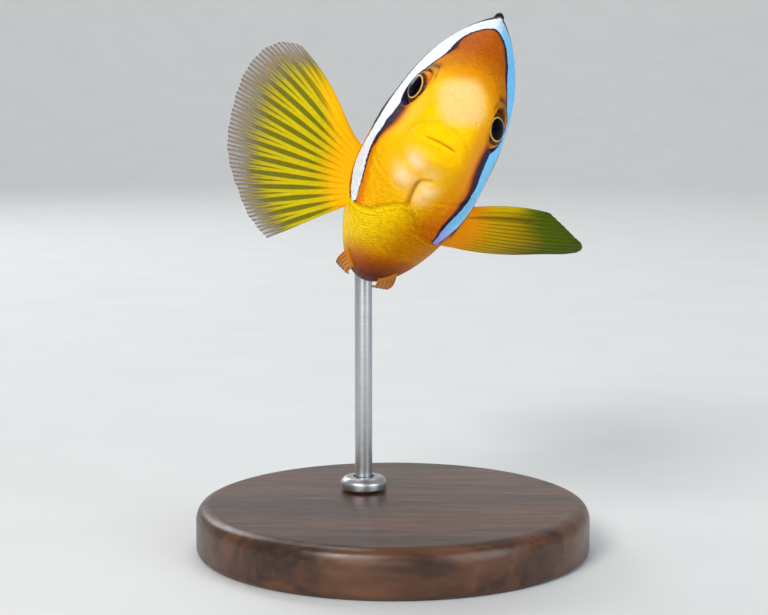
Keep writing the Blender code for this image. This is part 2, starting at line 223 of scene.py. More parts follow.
@dataclass
class BodyShape:
    """The plain form of the body, from its profiles in millimetres."""

    length: float = 81.0
    back: Knots = (
        (0, 0.3), (1, 4.6), (3, 8.7), (6, 13.2), (10, 18), (14, 21.7), (18, 24.3), (22, 25.9), (27, 26.6),
        (36, 25.8), (45, 23.1), (55, 18), (65, 11.8), (73, 8), (81, 7.1))
    belly: Knots = (
        (0, 0.3), (1, -2.4), (3, -3.9), (7, -6.2), (12, -10), (18, -14.6), (24, -18.2), (30, -20.1),
        (37, -20.4), (46, -18.6), (54, -15.2), (62, -11.2), (70, -7.8), (76, -6.6), (81, -6.6))
    half_width: Knots = (
        (0, 0), (1, 3.2), (3, 4.9), (6, 6.3), (10, 7.8), (15, 9.2), (20, 9.9), (27, 9.8), (35, 9.1),
        (45, 7.7), (55, 5.6), (65, 3.5), (73, 2.1), (81, 1.2))
    widest_level: Knots = ((0, 0.3), (3, 0), (10, -1), (20, -2), (35, -1.5), (55, 0.5), (81, 0.3))
    ridge_power: Knots = ((0, 2.6), (6, 3.2), (10, 3.2), (22, 2.6), (40, 2.4), (81, 2.2))
    ridge_sharpness: Knots = ((0, 0.5), (6, 0.55), (10, 0.6), (22, 0.8), (40, 0.8), (81, 0.7))

    def __post_init__(self) -> None:
        """Fit the profiles, and measure the body round and along so that places can be spread evenly."""
        self.back_at = Profile(self.back)
        self.belly_at = Profile(self.belly)
        self.half_at = Profile(self.half_width)
        self.level_at = Profile(self.widest_level)
        self.power_at = Profile(self.ridge_power)
        self.sharpness_at = Profile(self.ridge_sharpness)
        self.roots = np.linspace(0.02, math.sqrt(self.length), 260)
        angles = np.linspace(0, math.pi, 721)
        rings = self.point(self.roots[:, None] ** 2, angles[None, :])
        steps = np.linalg.norm(np.diff(rings, axis=1), axis=-1)
        round_it = np.concatenate([np.zeros((len(rings), 1)), np.cumsum(steps, axis=1)], axis=1)
        self.girths = 2 * round_it[:, -1]
        self.shares = np.linspace(0, 1, 241)
        self.angle_table = np.array([np.interp(self.shares, row / row[-1], angles) for row in round_it])
        lines = self.point(self.roots[:, None] ** 2, self.angle_table[:, ::60])
        run = np.linalg.norm(np.diff(lines, axis=0), axis=-1).mean(axis=1)
        self.runs = np.r_[0, np.cumsum(run)]

    def point(self, s: Array, angle: Array) -> Array:
        """Return points of the plain body.

        Args:
            s: distances behind the snout.
            angle: angles from the back, down the left side.

        Returns:
            The points, with a last axis of three.
        """
        s, angle = np.broadcast_arrays(np.asarray(s, float), np.asarray(angle, float))
        level = self.level_at(s)
        half = np.maximum(self.half_at(s), 0)
        up = np.cos(angle)
        reach = np.minimum(np.abs(up), 1.0)
        above = half * (1 - reach ** self.power_at(s)) ** self.sharpness_at(s)
        below = half * np.sqrt(1 - reach ** 2)
        x = np.sign(np.sin(angle) + 1e-15) * np.where(up >= 0, above, below)
        z = level + np.where(up >= 0, self.back_at(s) - level, self.belly_at(s) - level) * reach
        return np.stack([x, s, z], axis=-1)

    def flank(self, s: Array, z: Array) -> Array:
        """Return points of the left flank.

        Args:
            s: distances behind the snout.
            z: levels.

        Returns:
            The points, with a last axis of three.
        """
        s, z = np.asarray(s, float), np.asarray(z, float)
        level = self.level_at(s)
        rise = z - level
        up = np.where(rise >= 0, rise / (self.back_at(s) - level), rise / (level - self.belly_at(s)))
        return self.point(s, np.arccos(np.clip(up, -1, 1)))

    def underside(self, x: Array, s: Array) -> Array:
        """Return points of the left half of the underside.

        Args:
            x: distances out to the left.
            s: distances behind the snout.

        Returns:
            The points, with a last axis of three.
        """
        x, s = np.asarray(x, float), np.asarray(s, float)
        reach = np.sqrt(np.clip(1 - (x / self.half_at(s)) ** 2, 0, 1))
        level = self.level_at(s)
        return np.stack([x, s, level + (self.belly_at(s) - level) * reach], axis=-1)

    def spread(self, s: Array, share: Array) -> Array:
        """Return points of the plain body spread evenly round it.

        Args:
            s: distances behind the snout.
            share: shares 0..1 of the way round, from the back down the left side.

        Returns:
            The points, with a last axis of three.
        """
        s, share = np.broadcast_arrays(np.asarray(s, float), np.asarray(share, float))
        share = share % 1.0
        half = np.where(share <= 0.5, 2 * share, 2 - 2 * share)
        row = np.interp(np.sqrt(np.maximum(s, 0)), self.roots, np.arange(len(self.roots)))
        column = half * (len(self.shares) - 1)
        r = np.minimum(row.astype(int), len(self.roots) - 2)
        c = np.minimum(column.astype(int), len(self.shares) - 2)
        fr, fc = row - r, column - c
        table = self.angle_table
        near = table[r, c] * (1 - fc) + table[r, c + 1] * fc
        far = table[r + 1, c] * (1 - fc) + table[r + 1, c + 1] * fc
        angle = near * (1 - fr) + far * fr
        return self.point(s, np.where(share <= 0.5, angle, 2 * math.pi - angle))

    def girth(self, s: Array) -> Array:
        """Return how far it is round the body at distances behind the snout."""
        return np.interp(np.sqrt(s), self.roots, self.girths)

    def run_of(self, s: Array) -> Array:
        """Return the way over the skin from the snout to distances behind it."""
        return np.interp(np.sqrt(s), self.roots, self.runs)

    def behind(self, run: Array) -> Array:
        """Return the distances behind the snout at ways over the skin."""
        return np.interp(run, self.runs, self.roots) ** 2


@dataclass
class EyeSeat:
    """Where an eye sits in the head."""

    body: BodyShape
    side: Side
    back: float = 8.7
    level: float = 7.3
    radius: float = 2.95
    depth: float = 1.9
    sink: float = 1.5
    forward: float = math.radians(36.0)
    lift: float = math.radians(4.0)
    levelling: float = math.radians(11.0)
    swivel: float = math.radians(7.5)
    head_half: float = 4.5
    far: float = 50.0

    def __post_init__(self) -> None:
        """Work out the eye's own frame, its z looking out of the head."""
        gaze = self.gaze(self.forward)
        on_skin = Vector(self.body.flank(self.back, self.level)) * Vector((self.side.value, 1, 1))
        self.turn = np.array(gaze.to_track_quat("Z", "Y").to_matrix())
        self.middle = np.array(on_skin - gaze * self.sink)
        looking = self.gaze(self.forward + self.side.value * self.swivel)
        self.ball_turn = np.array(looking.to_track_quat("Z", "Y").to_matrix())

    def gaze(self, forward: float) -> Vector:
        """Find where the eye looks.

        Args:
            forward: the angle by which it is turned forward.

        Returns:
            The direction, in the fish's frame.
        """
        lift = self.lift + self.side.value * self.levelling
        over = self.side.value * math.cos(forward) * math.cos(lift)
        return Vector((over, -math.sin(forward) * math.cos(lift), math.sin(lift)))

    def local(self, points: Array) -> Array:
        """Return points in the eye's own frame."""
        return (points - self.middle) @ self.turn

    def world(self, points: Array) -> Array:
        """Return points of the eye's own frame in the fish's frame."""
        return points @ self.turn.T + self.middle

    def ring(self, points: Array) -> Array:
        """Return how far out from the eye's axis points lie, far off on the other side of the head."""
        own = self.local(points)
        return np.hypot(own[..., 0], own[..., 1]) + self.far * (np.abs(own[..., 2]) > self.head_half)


@dataclass
class FishSkin:
    """The skin in one piece: the plain body, sunk by the depth of the scales, with the relief of the head."""

    body: BodyShape
    coat_depth: float = 0.13
    sides: int = 288
    mouth_half: float = 2.6
    gill_under: Knots = (
        (0, 10.4), (0.9, 10.8), (2, 11.9), (3.1, 13.4), (4.1, 15), (5.4, 16.8), (6.7, 18.7))
    gill_flank: Knots = (
        (20.9, -10.6), (21.9, -9), (23.4, -6.2), (24.3, -3), (24.6, 0), (24.2, 2.5), (22.8, 5),
        (20.4, 7.1), (17.6, 8.5), (15.8, 9))
    cheek: Knots = ((16, 7.6), (14.3, 3.6), (12.9, -1), (11.2, -5.2), (8.8, -7.2))
    lip_fold: Knots = (
        (-5.1, -0.8), (-4.6, 1.3), (-2.9, 2.5), (-0.8, 3.1), (1.5, 2.8), (3, 2.2), (4.1, 1.2),
        (4.6, -0.6))
    throat: Knots = (
        (1.5, 4.9), (0.8, 5.2), (0.2, 5.7), (-0.1, 6.4), (-0.15, 7.7), (0, 9.3), (0.3, 10.6))
    lid: Knots = (
        (5.3, 8, 11.5), (5.1, 7.2, 10.7), (5, 6.5, 9.7), (5.05, 5.9, 8.6), (5.3, 5.6, 7.4),
        (5.7, 5.6, 6.2))
    nostril: tuple[float, float] = (3.6, 5.6)
    lips: Knots = ((0, -0.26, 0.13), (0.6, 0.13, 0.42), (-0.65, 0.16, 0.45))
    throat_lobes: Knots = ((-2.6, 6.8, 1.9, 2.6, 0.6), (1.9, 7.6, 1.7, 3, 0.66))
    ring_steps: Knots = ((2.5, 0.15), (26, 0.27), (math.inf, 0.62))
    seat_wall: float = 0.32
    lid_rise: float = 0.24
    probe: float = 0.02
    probe_turn: float = 0.0012

    def __post_init__(self) -> None:
        """Lay out the lines that the relief follows."""
        self.eyes = [EyeSeat(self.body, side) for side in Side]
        under = self.body.underside(*np.array(self.gill_under).T)
        flank = self.body.flank(*np.array(self.gill_flank).T)
        self.gill_line = traced(np.vstack([under, flank]), 90)
        self.cheek_line = self.body.flank(*traced(self.cheek, 30).T)
        self.fold_line = traced(self.lip_fold, 40)
        self.throat_line = traced(self.throat, 30)
        self.lid_line = traced(self.lid, 30)

    def gill(self, points: Array) -> Array:
        """Find how far points lie ahead of the gill cover's rim.

        Args:
            points: points in the fish's frame, one a row.

        Returns:
            The distances, less than nothing behind the rim.
        """
        own = folded_left(points)
        away, along = nearest(own, self.gill_line)
        at = self.gill_line[np.minimum(along.astype(int), len(self.gill_line) - 1)]
        ahead = own[:, 1] < at[:, 1] + 0.35 * (own[:, 0] - at[:, 0])
        return away * np.where(ahead, 1, -1)

    def mouth(self, points: Array) -> tuple[Array, Array]:
        """Find where points lie beside the mouth.

        Args:
            points: points in the fish's frame, one a row.

        Returns:
            How far above the mouth's line they lie, and how far they are on the front of the snout.
        """
        x, s, z = points.T
        above = z - (0.24 - 0.014 * x ** 2)
        front = smooth(self.mouth_half + 0.7, self.mouth_half - 0.8, np.abs(x)) * smooth(5.0, 3.0, s)
        return above, front

    def relief(self, points: Array) -> Array:
        """Find how far the skin stands out from the plain body.

        Args:
            points: points of the plain body, one a row.

        Returns:
            The heights: of the lips, the folds, the throat, the gill covers, the cheeks, lids and nostrils.
        """
        x, s, z = points.T
        above, front = self.mouth(points)
        height = np.zeros(len(points))
        for level, rise, width in self.lips:
            height += rise * hump(above - level, width) * front
        height -= 0.07 * hump(above + 1.8, 0.5) * smooth(3.4, 1.6, np.abs(x)) * smooth(4.0, 2.0, s)
        away, _ = nearest(np.stack([x, z], axis=-1), self.fold_line)
        height -= 0.06 * hump(away, 0.35) * smooth(7.0, 5.0, s)
        height += 0.05 * hump(away - 0.85, 0.65) * smooth(7.0, 5.0, s)
        lower = smooth(-3.0, -4.6, z)
        for over, back, half_x, half_s, rise in self.throat_lobes:
            height += rise * np.exp(-(((x - over) / half_x) ** 2) - ((s - back) / half_s) ** 2) * lower
        away, along = nearest(np.stack([x, s], axis=-1), self.throat_line)
        height -= (0.25 + 0.35 * smooth(2, 13, along)) * hump(away, 0.38) * lower
        gill = self.gill(points)
        cover = 0.36 * np.exp(-np.maximum(gill, 0) / 2.6) * smooth(-0.14, 0.14, gill)
        height += (cover - 0.14 * hump(gill + 0.25, 0.32)) * smooth(8.2, 3.5, z)
        own = folded_left(points)
        away, _ = nearest(own, self.cheek_line)
        height -= 0.09 * hump(away, 0.5)
        away, _ = nearest(own, self.lid_line)
        height -= 0.1 * hump(away, 0.22)
        spot = np.hypot(np.abs(x) - self.nostril[0], z - self.nostril[1]) + 5 * (s > 6)
        height += 0.07 * hump(spot - 0.42, 0.2) - 0.16 * hump(spot, 0.24)
        return height

    def surface(self, s: Array, share: Array) -> Array:
        """Return points of the skin.

        Args:
            s: distances behind the snout, one axis.
            share: shares 0..1 of the way round, one axis.

        Returns:
            The points, one a row.
        """
        q = np.sqrt(np.maximum(s, 0))
        plain = self.body.spread(s, share)
        fore = self.body.spread(np.maximum(q - self.probe, self.probe / 4) ** 2, share)
        aft = self.body.spread((q + self.probe) ** 2, share)
        left = self.body.spread(s, share + self.probe_turn)
        right = self.body.spread(s, share - self.probe_turn)
        out = unit(np.cross(left - right, aft - fore))
        out[q < self.probe] = (0, -1, 0)
        points = plain + out * (self.relief(plain) - self.coat_depth)[:, None]
        for eye in self.eyes:
            ring = eye.ring(points)
            own = eye.local(points)
            lens = eye.depth * np.sqrt(np.clip(1 - (ring / eye.radius) ** 2, 0, 1))
            pit = np.minimum(own[:, 2], lens - self.seat_wall)
            sunk = smooth(eye.radius + 0.4, eye.radius - 0.2, ring)
            lid = self.lid_rise * smooth(1.0, -1.0, points[:, 1] - eye.middle[1])
            own[:, 2] += (pit - own[:, 2]) * sunk + lid * hump(ring - eye.radius - 0.42, 0.34)
            points = np.where((ring < eye.radius + 2.0)[:, None], eye.world(own), points)
        return points

    def stations(self) -> Array:
        """Space out the skin's rings, closest on the snout and close on the head.

        Returns:
            How far behind the snout each ring lies.
        """
        run = [0.0]
        end = float(self.body.runs[-1])
        while run[-1] < end:
            s = float(self.body.behind(run[-1]))
            run.append(run[-1] + next(step for end_of_step, step in self.ring_steps if s < end_of_step))
        return self.body.behind(np.array(run[1:]) * end / run[-1])

    def flat_map(self, s: Array) -> Array:
        """Lay the skin out flat.

        Args:
            s: how far behind the snout its rings lie.

        Returns:
            A place for each corner of the bands between rings, the fan at the snout and the cap at the tail.
        """
        sides = self.sides
        v = s / self.body.length
        i, k = np.meshgrid(np.arange(len(s) - 1), np.arange(sides), indexing="ij")
        u0, u1 = k / sides, (k + 1) / sides
        corners = ((u0, v[i]), (u0, v[i + 1]), (u1, v[i + 1]), (u1, v[i]))
        bands = np.stack([np.stack(corner, -1) for corner in corners], axis=2).reshape(-1, 2)
        k = np.arange(sides)
        corners = ((k / sides, np.full(sides, v[0])), ((k + 1) / sides, np.full(sides, v[0])),
                   ((k + 0.5) / sides, np.zeros(sides)))
        fan = np.stack([np.stack(corner, -1) for corner in corners], axis=1).reshape(-1, 2)
        turn = 2 * np.pi * k[::-1] / sides
        cap = np.stack([0.5 + 0.01 * np.cos(turn), 1.02 + 0.01 * np.sin(turn)], axis=-1)
        return np.vstack([bands, fan, cap])

    def build(self, pose: "Pose", marks: "MarkingsAndPaintedLight", finish: "SkinFinish") -> Piece:
        """Make the skin's mesh with its markings, and dress it.

        Args:
            pose: how the fish hangs on its stand.
            marks: the fish's markings.
            finish: the skin's finish.

        Returns:
            The skin's object.
        """
        s = self.stations()
        rings, sides = len(s), self.sides
        grid = self.surface(np.repeat(s, sides), np.tile(np.arange(sides) / sides, rings))
        tip = self.surface(np.array([1e-6]), np.array([0.25]))
        points = np.vstack([grid, tip])
        faces = band(rings, sides)
        faces += [(k, (k + 1) % sides, len(grid)) for k in range(sides)]
        faces.append([(rings - 1) * sides + k for k in reversed(range(sides))])
        skin = make_mesh("skin", pose.place(points), faces)
        lay_flat(skin, self.flat_map(s))
        marks.write(skin, points)
        finish.dress(skin)
        settle(skin, "orange_skin", "head", "jaw_lower", "gill_cover_left", "gill_cover_right", "trunk",
               "tail_stem")
        return skin


@dataclass(frozen=True)
class Places:
    """Points on the skin, with what the markings there are worked out from.

    left is 1 on the left side, gill is how far ahead of the gill cover's rim a point lies, and ring is how
    far out it lies from the nearer eye.
    """

    points: Array
    left: Array
    gill: Array
    ring: Array

    @classmethod
    def on(cls, skin: FishSkin, points: Array) -> "Places":
        """Return points of the fish's frame, measured on its skin."""
        ring = np.minimum(*(eye.ring(points) for eye in skin.eyes))
        return cls(points, smooth(-0.4, 0.4, points[:, 0]), skin.gill(points), ring)


@dataclass
class MarkingsAndPaintedLight:
    """Where the fish is white, black, golden or pale, and where shade, highlights and cool light are painted
    on its skin, as soft masks and distances over its skin.
    """

    skin: FishSkin
    head_front: Knots = (
        (18.5, -12), (16.2, -9.6), (14.8, -8.1), (13.7, -5.9), (12.9, -4), (12.2, -1.8), (11.1, 0),
        (10.2, 2.5), (10.4, 4.7), (11.5, 7), (11.9, 8.6), (11.3, 10.3), (10.5, 11.8), (10.2, 13.2),
        (10.4, 14.7), (11.4, 16.5), (12.2, 17.9), (13.3, 19.5), (14.1, 21), (15.4, 26))
    head_rear: Knots = (
        (18.9, -12), (19.1, -11), (19.1, -9.4), (19.5, -7.1), (19.7, -5), (19.1, -2), (18.1, 2),
        (17.3, 7), (17.2, 12), (17.7, 16), (18.5, 20), (18.6, 22.6), (18.9, 24.3), (20.4, 25.4),
        (23, 30))
    right_front: Knots = (
        (18.8, -11.7), (17.9, -10.8), (16.5, -8.9), (15.5, -7.5), (14.7, -5.6), (14.3, -3.7), (14, -2.1),
        (13.6, -0.6), (12.8, 1.4), (11.5, 3.1), (11.1, 5.2), (11.6, 7), (11.9, 8.6), (11.3, 10.3),
        (10.5, 11.8), (10.2, 13.2), (10.6, 14.7), (11.9, 16.5), (12.9, 17.9), (13.8, 19.5), (14.3, 21),
        (15.4, 26))
    right_rear: Knots = (
        (19.2, -11.7), (20, -10.2), (20.2, -8.8), (21, -6.9), (21.7, -5), (21, -2.5), (19.4, 1),
        (18, 5), (17.4, 9), (17.4, 13), (18.2, 17), (18.8, 20), (18.9, 22.6), (19.1, 24.3),
        (20.4, 25.4), (23, 30))
    middle_front: Knots = (
        (45.6, -15.6), (44.4, -10), (42.6, 0), (42, 10), (42.6, 20), (43.4, 30))
    middle_rear: Knots = (
        (46.6, -15.6), (48.8, -10), (50.2, 0), (49.8, 10), (48.8, 20), (47.6, 30))
    tail_front: Knots = ((74.6, -12), (73.6, -4), (73.2, 0.5), (73.6, 5), (74.8, 14))
    tail_rear: Knots = ((78, -12), (78.8, -4), (79.1, 0.5), (78.8, 5), (78, 14))
    black_edge: Knots = (
        (12, -6), (19, -8.2), (26, -11.2), (34, -12.6), (46, -12), (56, -10.2),
        (64, -9.8), (70, -12), (81, -16))
    fin_patch: tuple[float, float, float, float] = (24.8, -5.6, 3.6, 6.6)
    # where the painted highlight of glare lies on the snout, and how it is turned
    snout_patch: tuple[float, float, float, float] = (0.1, 7.5, 3.75, 3.8)
    patch_turn: float = math.radians(28.0)
    # the chin's painted highlights of glare: place, size and strength of each
    chin_spots: Knots = (
        (-1.9, 2.9, -3.4, 1.6, 1), (-2.5, 6.2, -6, 1.9, 1), (1.6, 6.5, -6.3, 1.6, 0.85),
        (1.2, 8, -7.4, 1.6, 0.6), (0.8, 3.6, -3.9, 1.5, 0.4))
    rim_right: Knots = (
        (-12, 0.12), (-8.5, 0.3), (-6.3, 0.5), (-4.9, 0.8), (-3.3, 1.2), (-2.1, 1.6), (-1, 2.4),
        (0.1, 3.1), (1.2, 3.5), (3.2, 3.6), (5, 2.6), (7, 1.4), (9, 0.8), (11, 0.45), (13.5, 0.4),
        (15.6, 0.85), (17.6, 0.45), (22, 0.4))
    rim_left: Knots = (
        (-12, 0.14), (-9.4, 0.6), (-8.1, 0.8), (-5.9, 1.4), (-3.8, 2.1), (-2.3, 2.9), (-1, 3.5),
        (1, 3.5), (3.5, 3.1), (5, 2.4), (7, 1.4), (9, 0.8), (11, 0.5), (13.5, 0.5), (15.6, 0.6),
        (22, 0.4))
    # the brow's fold over each eye, where painted shade runs
    brow: Knots = ((6.9, 10.6, 11.3), (6.1, 9.3, 11.6), (5.3, 8, 11.5))
    rear_rim: float = 0.28
    middle_rim_more: float = 0.14
    gill_gap: float = 0.12
    eye_gap: float = 3.75
    black_end: float = 79.0

    def __post_init__(self) -> None:
        """Lay out the bars' outlines."""
        pairs = ((self.head_front, self.head_rear), (self.right_front, self.right_rear),
                 (self.middle_front, self.middle_rear), (self.tail_front, self.tail_rear))
        self.bars = [np.vstack([traced(front, 110), traced(rear, 90)[::-1]]) for front, rear in pairs]
        self.head_rear_at = Spline.through([p[1] for p in self.head_rear], [p[0] for p in self.head_rear])
        self.black_at = Spline.through([p[0] for p in self.black_edge], [p[1] for p in self.black_edge])

    def head_bar(self, at: Places) -> tuple[Array, Array]:
        """Find where places lie beside the head bar, which differs a little from side to side.

        Args:
            at: the places.

        Returns:
            How deep inside the bar they lie, and how wide its dark rim is beside them.
        """
        _, s, z = at.points.T
        side_view = np.stack([s, z], axis=-1)
        left, right = (depth_inside(side_view, outline) for outline in self.bars[:2])
        rims = [np.interp(z, *np.array(knots).T) for knots in (self.rim_left, self.rim_right)]
        ahead = smooth(16.6, 14.6, s + 0.35 * np.minimum(z, 0.0))
        rim = (rims[0] * at.left + rims[1] * (1 - at.left)) * ahead + self.rear_rim * (1 - ahead)
        rim = rim + self.middle_rim_more * smooth(18, 30, s)
        return left * at.left + right * (1 - at.left), rim

    def bar(self, at: Places, head: Array) -> Array:
        """Find how deep inside any of the white bars places lie.

        Args:
            at: the places.
            head: how deep inside the head bar they lie.

        Returns:
            The depths, with the head bar kept clear of the breast and the eyes.
        """
        _, s, z = at.points.T
        side_view = np.stack([s, z], axis=-1)
        middle, tail = (depth_inside(side_view, outline) for outline in self.bars[2:])
        bar = np.maximum(np.maximum(head, middle), tail)
        bar = np.where((z < -5.0) & (s < 26.0), np.minimum(bar, at.gill - self.gill_gap), bar)
        wider = 1.5 * at.left * smooth(4.0, 1.0, np.abs(z - 8.2))
        return np.minimum(bar, at.ring - self.eye_gap - wider)

    def black(self, at: Places) -> Array:
        """Find how deep inside the dark of the flank places lie.

        Args:
            at: the places.

        Returns:
            The depths: behind the head bar, above the belly, clear of the side fin's patch and the tail fin.
        """
        _, s, z = at.points.T
        rear = self.head_rear_at.at(np.clip(z, -12.0, 29))[:, 0]
        black = np.minimum(z - self.black_at.at(s)[:, 0], s - rear)
        cx, cz, rx, rz = self.fin_patch
        patch = (np.hypot((s - cx) / rx, (z - cz) / rz) - 1) * min(rx, rz)
        return np.minimum(np.minimum(black, patch), self.black_end - s)

    def pale(self, at: Places) -> Array:
        """Find the painted highlight on the snout: a peach patch of glare.

        Args:
            at: the places.

        Returns:
            How strong the painted highlight is: a blunt patch that is turned a little.
        """
        x, s, z = at.points.T
        cx, cz, rx, rz = self.snout_patch
        c, d = math.cos(self.patch_turn), math.sin(self.patch_turn)
        over, up = ((x - cx) * c + (z - cz) * d) / rx, ((z - cz) * c - (x - cx) * d) / rz
        return smooth(1.22, 0.62, (np.abs(over) ** 3 + np.abs(up) ** 3) ** (1 / 3)) * smooth(9.0, 7.0, s)

    def blotch(self, at: Places) -> Array:
        """Return how strong the painted highlights of glare on the chin are at places."""
        return np.maximum.reduce([strength * hump(np.linalg.norm(at.points - np.array(spot), axis=1), size)
                                  for *spot, size, strength in self.chin_spots])

    def smudge(self, at: Places) -> Array:
        """Find how dark the surround of the eyes is: partly its own dark colour, partly painted shade in the
        pit round each eye, reaching further on the left, and along the brow's fold.

        Args:
            at: the places.

        Returns:
            The darkness: faint all round the eye, strong behind, under and above it, and on the brow's fold.
        """
        _, s, z = at.points.T
        low = np.maximum(smooth(6.6, 5.2, z), smooth(8.6, 10.0, z))
        behind = np.maximum(smooth(7.3, 9.2, s), 0.75 * low)
        smudge = smooth(3.5, 3.0, at.ring) * 0.25
        smudge = smudge + smooth(4.1 + 0.5 * at.left, 3.2, at.ring) * 0.75 * behind
        away, _ = nearest(folded_left(at.points), np.array(self.brow))
        return np.maximum(smudge, 0.85 * hump(away, 0.5))

    def crease(self, at: Places) -> Array:
        """Find the painted shade in the creases of the head.

        Args:
            at: the places.

        Returns:
            How dark the painted shade is: in the mouth, the throat, the gill cover's rim, the lips' fold and
                the lids.
        """
        x, s, z = at.points.T
        above, front = self.skin.mouth(at.points)
        mouth = hump(above, 0.12) * front * (0.45 + 0.35 * smooth(-2.4, 0.4, x))
        away, along = nearest(np.stack([x, s], axis=-1), self.skin.throat_line)
        throat = (0.3 + 0.4 * smooth(2, 13, along)) * hump(away, 0.3) * smooth(-3.0, -4.6, z)
        gill = 0.26 * hump(at.gill + 0.15, 0.3) * smooth(6, 2, z)
        away, _ = nearest(np.stack([x, z], axis=-1), self.skin.fold_line)
        fold = 0.16 * hump(away, 0.3) * smooth(7.0, 5.0, s)
        away, _ = nearest(folded_left(at.points), self.skin.lid_line)
        return np.maximum.reduce([mouth, throat, gill, fold, 0.7 * hump(away, 0.17)])

    def cheek(self, at: Places, edge: Array) -> Array:
        """Find how orange the cheeks are: deeper orange by the head bar's rim, and more of it on the left
        cheek, where the extra is painted shade.

        Args:
            at: the places.
            edge: how deep inside the head bar and its rim they lie.

        Returns:
            How orange the places are, 0..1.
        """
        x, s, z = at.points.T
        # right is 1 on the lit right side; the left cheek's extra orange brown, and its wider band by the
        # rim, is painted shade
        right = smooth(5.0, -6.0, x)
        glow = smooth(-2.7 - 1.1 * (1 - right), 0.1, edge) * smooth(13.0, 8.0, z) * (0.95 - 0.1 * right)
        return np.maximum(glow, (0.55 - 0.43 * right) * smooth(3.0, 7.0, np.abs(x) + 0.16 * s))

    def under(self, at: Places, breast: Array) -> Array:
        """Find the painted shade on the breast and the belly: brown on the left side, along the bottom and
        low on the left gill cover.

        Args:
            at: the places.
            breast: how much they belong to the breast.

        Returns:
            How much painted shade there is, 0..1.
        """
        x, s, z = at.points.T
        leftward = 0.8 * smooth(-3.0, 4.0, x + 0.3 * (s - 14))
        lowest = smooth(-13.0, -18.0, z - 0.3 * x)
        behind = 0.8 * smooth(-5.5, -11.0, z) * smooth(0.5, 4.5, x) * smooth(8.5, 12.0, s)
        return np.maximum(breast * np.maximum(leftward, lowest), behind)

    def masks(self, points: Array) -> dict[str, Array]:
        """Work out the markings.

        Args:
            points: points in the fish's frame, one a row.

        Returns:
            A mask, or a distance in millimetres, for each named marking.
        """
        at = Places.on(self.skin, points)
        x, s, z = points.T
        head, rim = self.head_bar(at)
        breast = smooth(0.15, -0.15, at.gill) * smooth(6, 2, z)
        return {
            "bar": self.bar(at, head),
            "rim": rim,
            "black": self.black(at),
            "crown": (0.6 * smooth(8.0, 12.2, z) + 0.4 * smooth(11.0, 17.5, z)) * smooth(24, 18, s),
            # the cheeks' own orange by the bars, and painted shade over the left cheek
            "cheek": self.cheek(at, head + rim) * (1 - breast),
            "breast": breast,
            # painted shade: brown on the breast's left side, its bottom and low on the left gill cover
            "under": self.under(at, breast),
            # painted shade: deep brown along the bottom of the breast
            "deep": breast * smooth(-16.6, -20.6, z - 0.3 * x),
            # painted highlight: a peach patch of glare on the snout
            "pale": self.pale(at),
            # painted highlights: light spots of glare on the chin
            "blotch": self.blotch(at),
            # the eyes' dark surround: partly its own, partly painted shade in the pits and on the brow's fold
            "smudge": self.smudge(at),
            # painted shade in the creases of the head
            "crease": self.crease(at),
            # partly the bars' own faint bluish white everywhere, partly painted cool shade on the left side
            # of the head bar
            "blue": smooth(-0.8, 1.8, x) * smooth(30, 22, s) * (0.86 - 0.3 * smooth(15.5, 19.5, s)) + 0.12,
            # painted cool shade: the white turns lilac low on the left of the head bar
            "lilac": 0.85 * smooth(-7.0, -11.0, z) * smooth(1.0, 3.0, x) * smooth(30, 24, s),
            "speck": hump(np.hypot((s - 22.6) / 1.4, (z - 0.5) / 3.6), 1.0),
        }

    def write(self, item: Piece, points: Array) -> None:
        """Store the markings at points of the fish's frame on an object's vertices."""
        for name, values in self.masks(points).items():
            store(item, name, values)


@dataclass
class Pose:
    """How the fish hangs on its stand, in degrees and millimetres."""

    bank: float = 28.1
    nose_up: float = 8.3
    turn: float = 4.0
    rod_point: Place = (0.0, 46.0, -18.5)
    rod_height: float = 46.0
    rod_place: tuple[float, float] = (-5.0, 8.0)

    def __post_init__(self) -> None:
        """Work out the fish's turn and where its frame's origin lies."""
        turn = (Matrix.Rotation(math.radians(self.turn), 3, "Z")
                @ Matrix.Rotation(-math.radians(self.nose_up), 3, "X")
                @ Matrix.Rotation(math.radians(self.bank), 3, "Y"))
        self.matrix = np.array(turn)
        self.origin = np.array((*self.rod_place, self.rod_height)) - self.matrix @ np.array(self.rod_point)

    def place(self, points: Array) -> Array:
        """Return points of the fish's frame on the stand, in metres."""
        return (points @ self.matrix.T + self.origin) * MM

    def unplace(self, points: Array) -> Array:
        """Return points on the stand, in metres, in the fish's frame."""
        return (points / MM - self.origin) @ self.matrix

    def aim(self, vectors: Array) -> Array:
        """Return directions of the fish's frame as they lie on the stand."""
        return vectors @ self.matrix.T


def show(name: str, mesh: bpy.types.Mesh) -> Piece:
    """Put a mesh in the scene, smoothly shaded.

    Args:
        name: the object's name.
        mesh: its mesh.

    Returns:
        The object.
    """
    mesh.polygons.foreach_set("use_smooth", [True] * len(mesh.polygons))
    made = bpy.data.objects.new(name, mesh)
    bpy.context.scene.collection.objects.link(made)
    return made


def make_mesh(name: str, points: Array, faces: Sequence[Sequence[int]]) -> Piece:
    """Make an object from points in metres and faces, smoothly shaded.

    Args:
        name: the object's name.
        points: its vertices, one a row.
        faces: the vertices of each face, anticlockwise from outside.

    Returns:
        The object, linked to the scene.
    """
    mesh = bpy.data.meshes.new(name)
    mesh.from_pydata(points.tolist(), [], faces)
    mesh.update()
    return show(name, mesh)


def band(rings: int, sides: int) -> list[list[int]]:
    """Join closed rings of points, one after another.

    Args:
        rings: how many rings there are.
        sides: how many points each has.

    Returns:
        The four-sided faces between them.
    """
    i, k = np.meshgrid(np.arange(rings - 1), np.arange(sides), indexing="ij")
    after = (k + 1) % sides
    low, high = i * sides, (i + 1) * sides
    return np.stack([low + k, high + k, high + after, low + after], axis=-1).reshape(-1, 4).tolist()


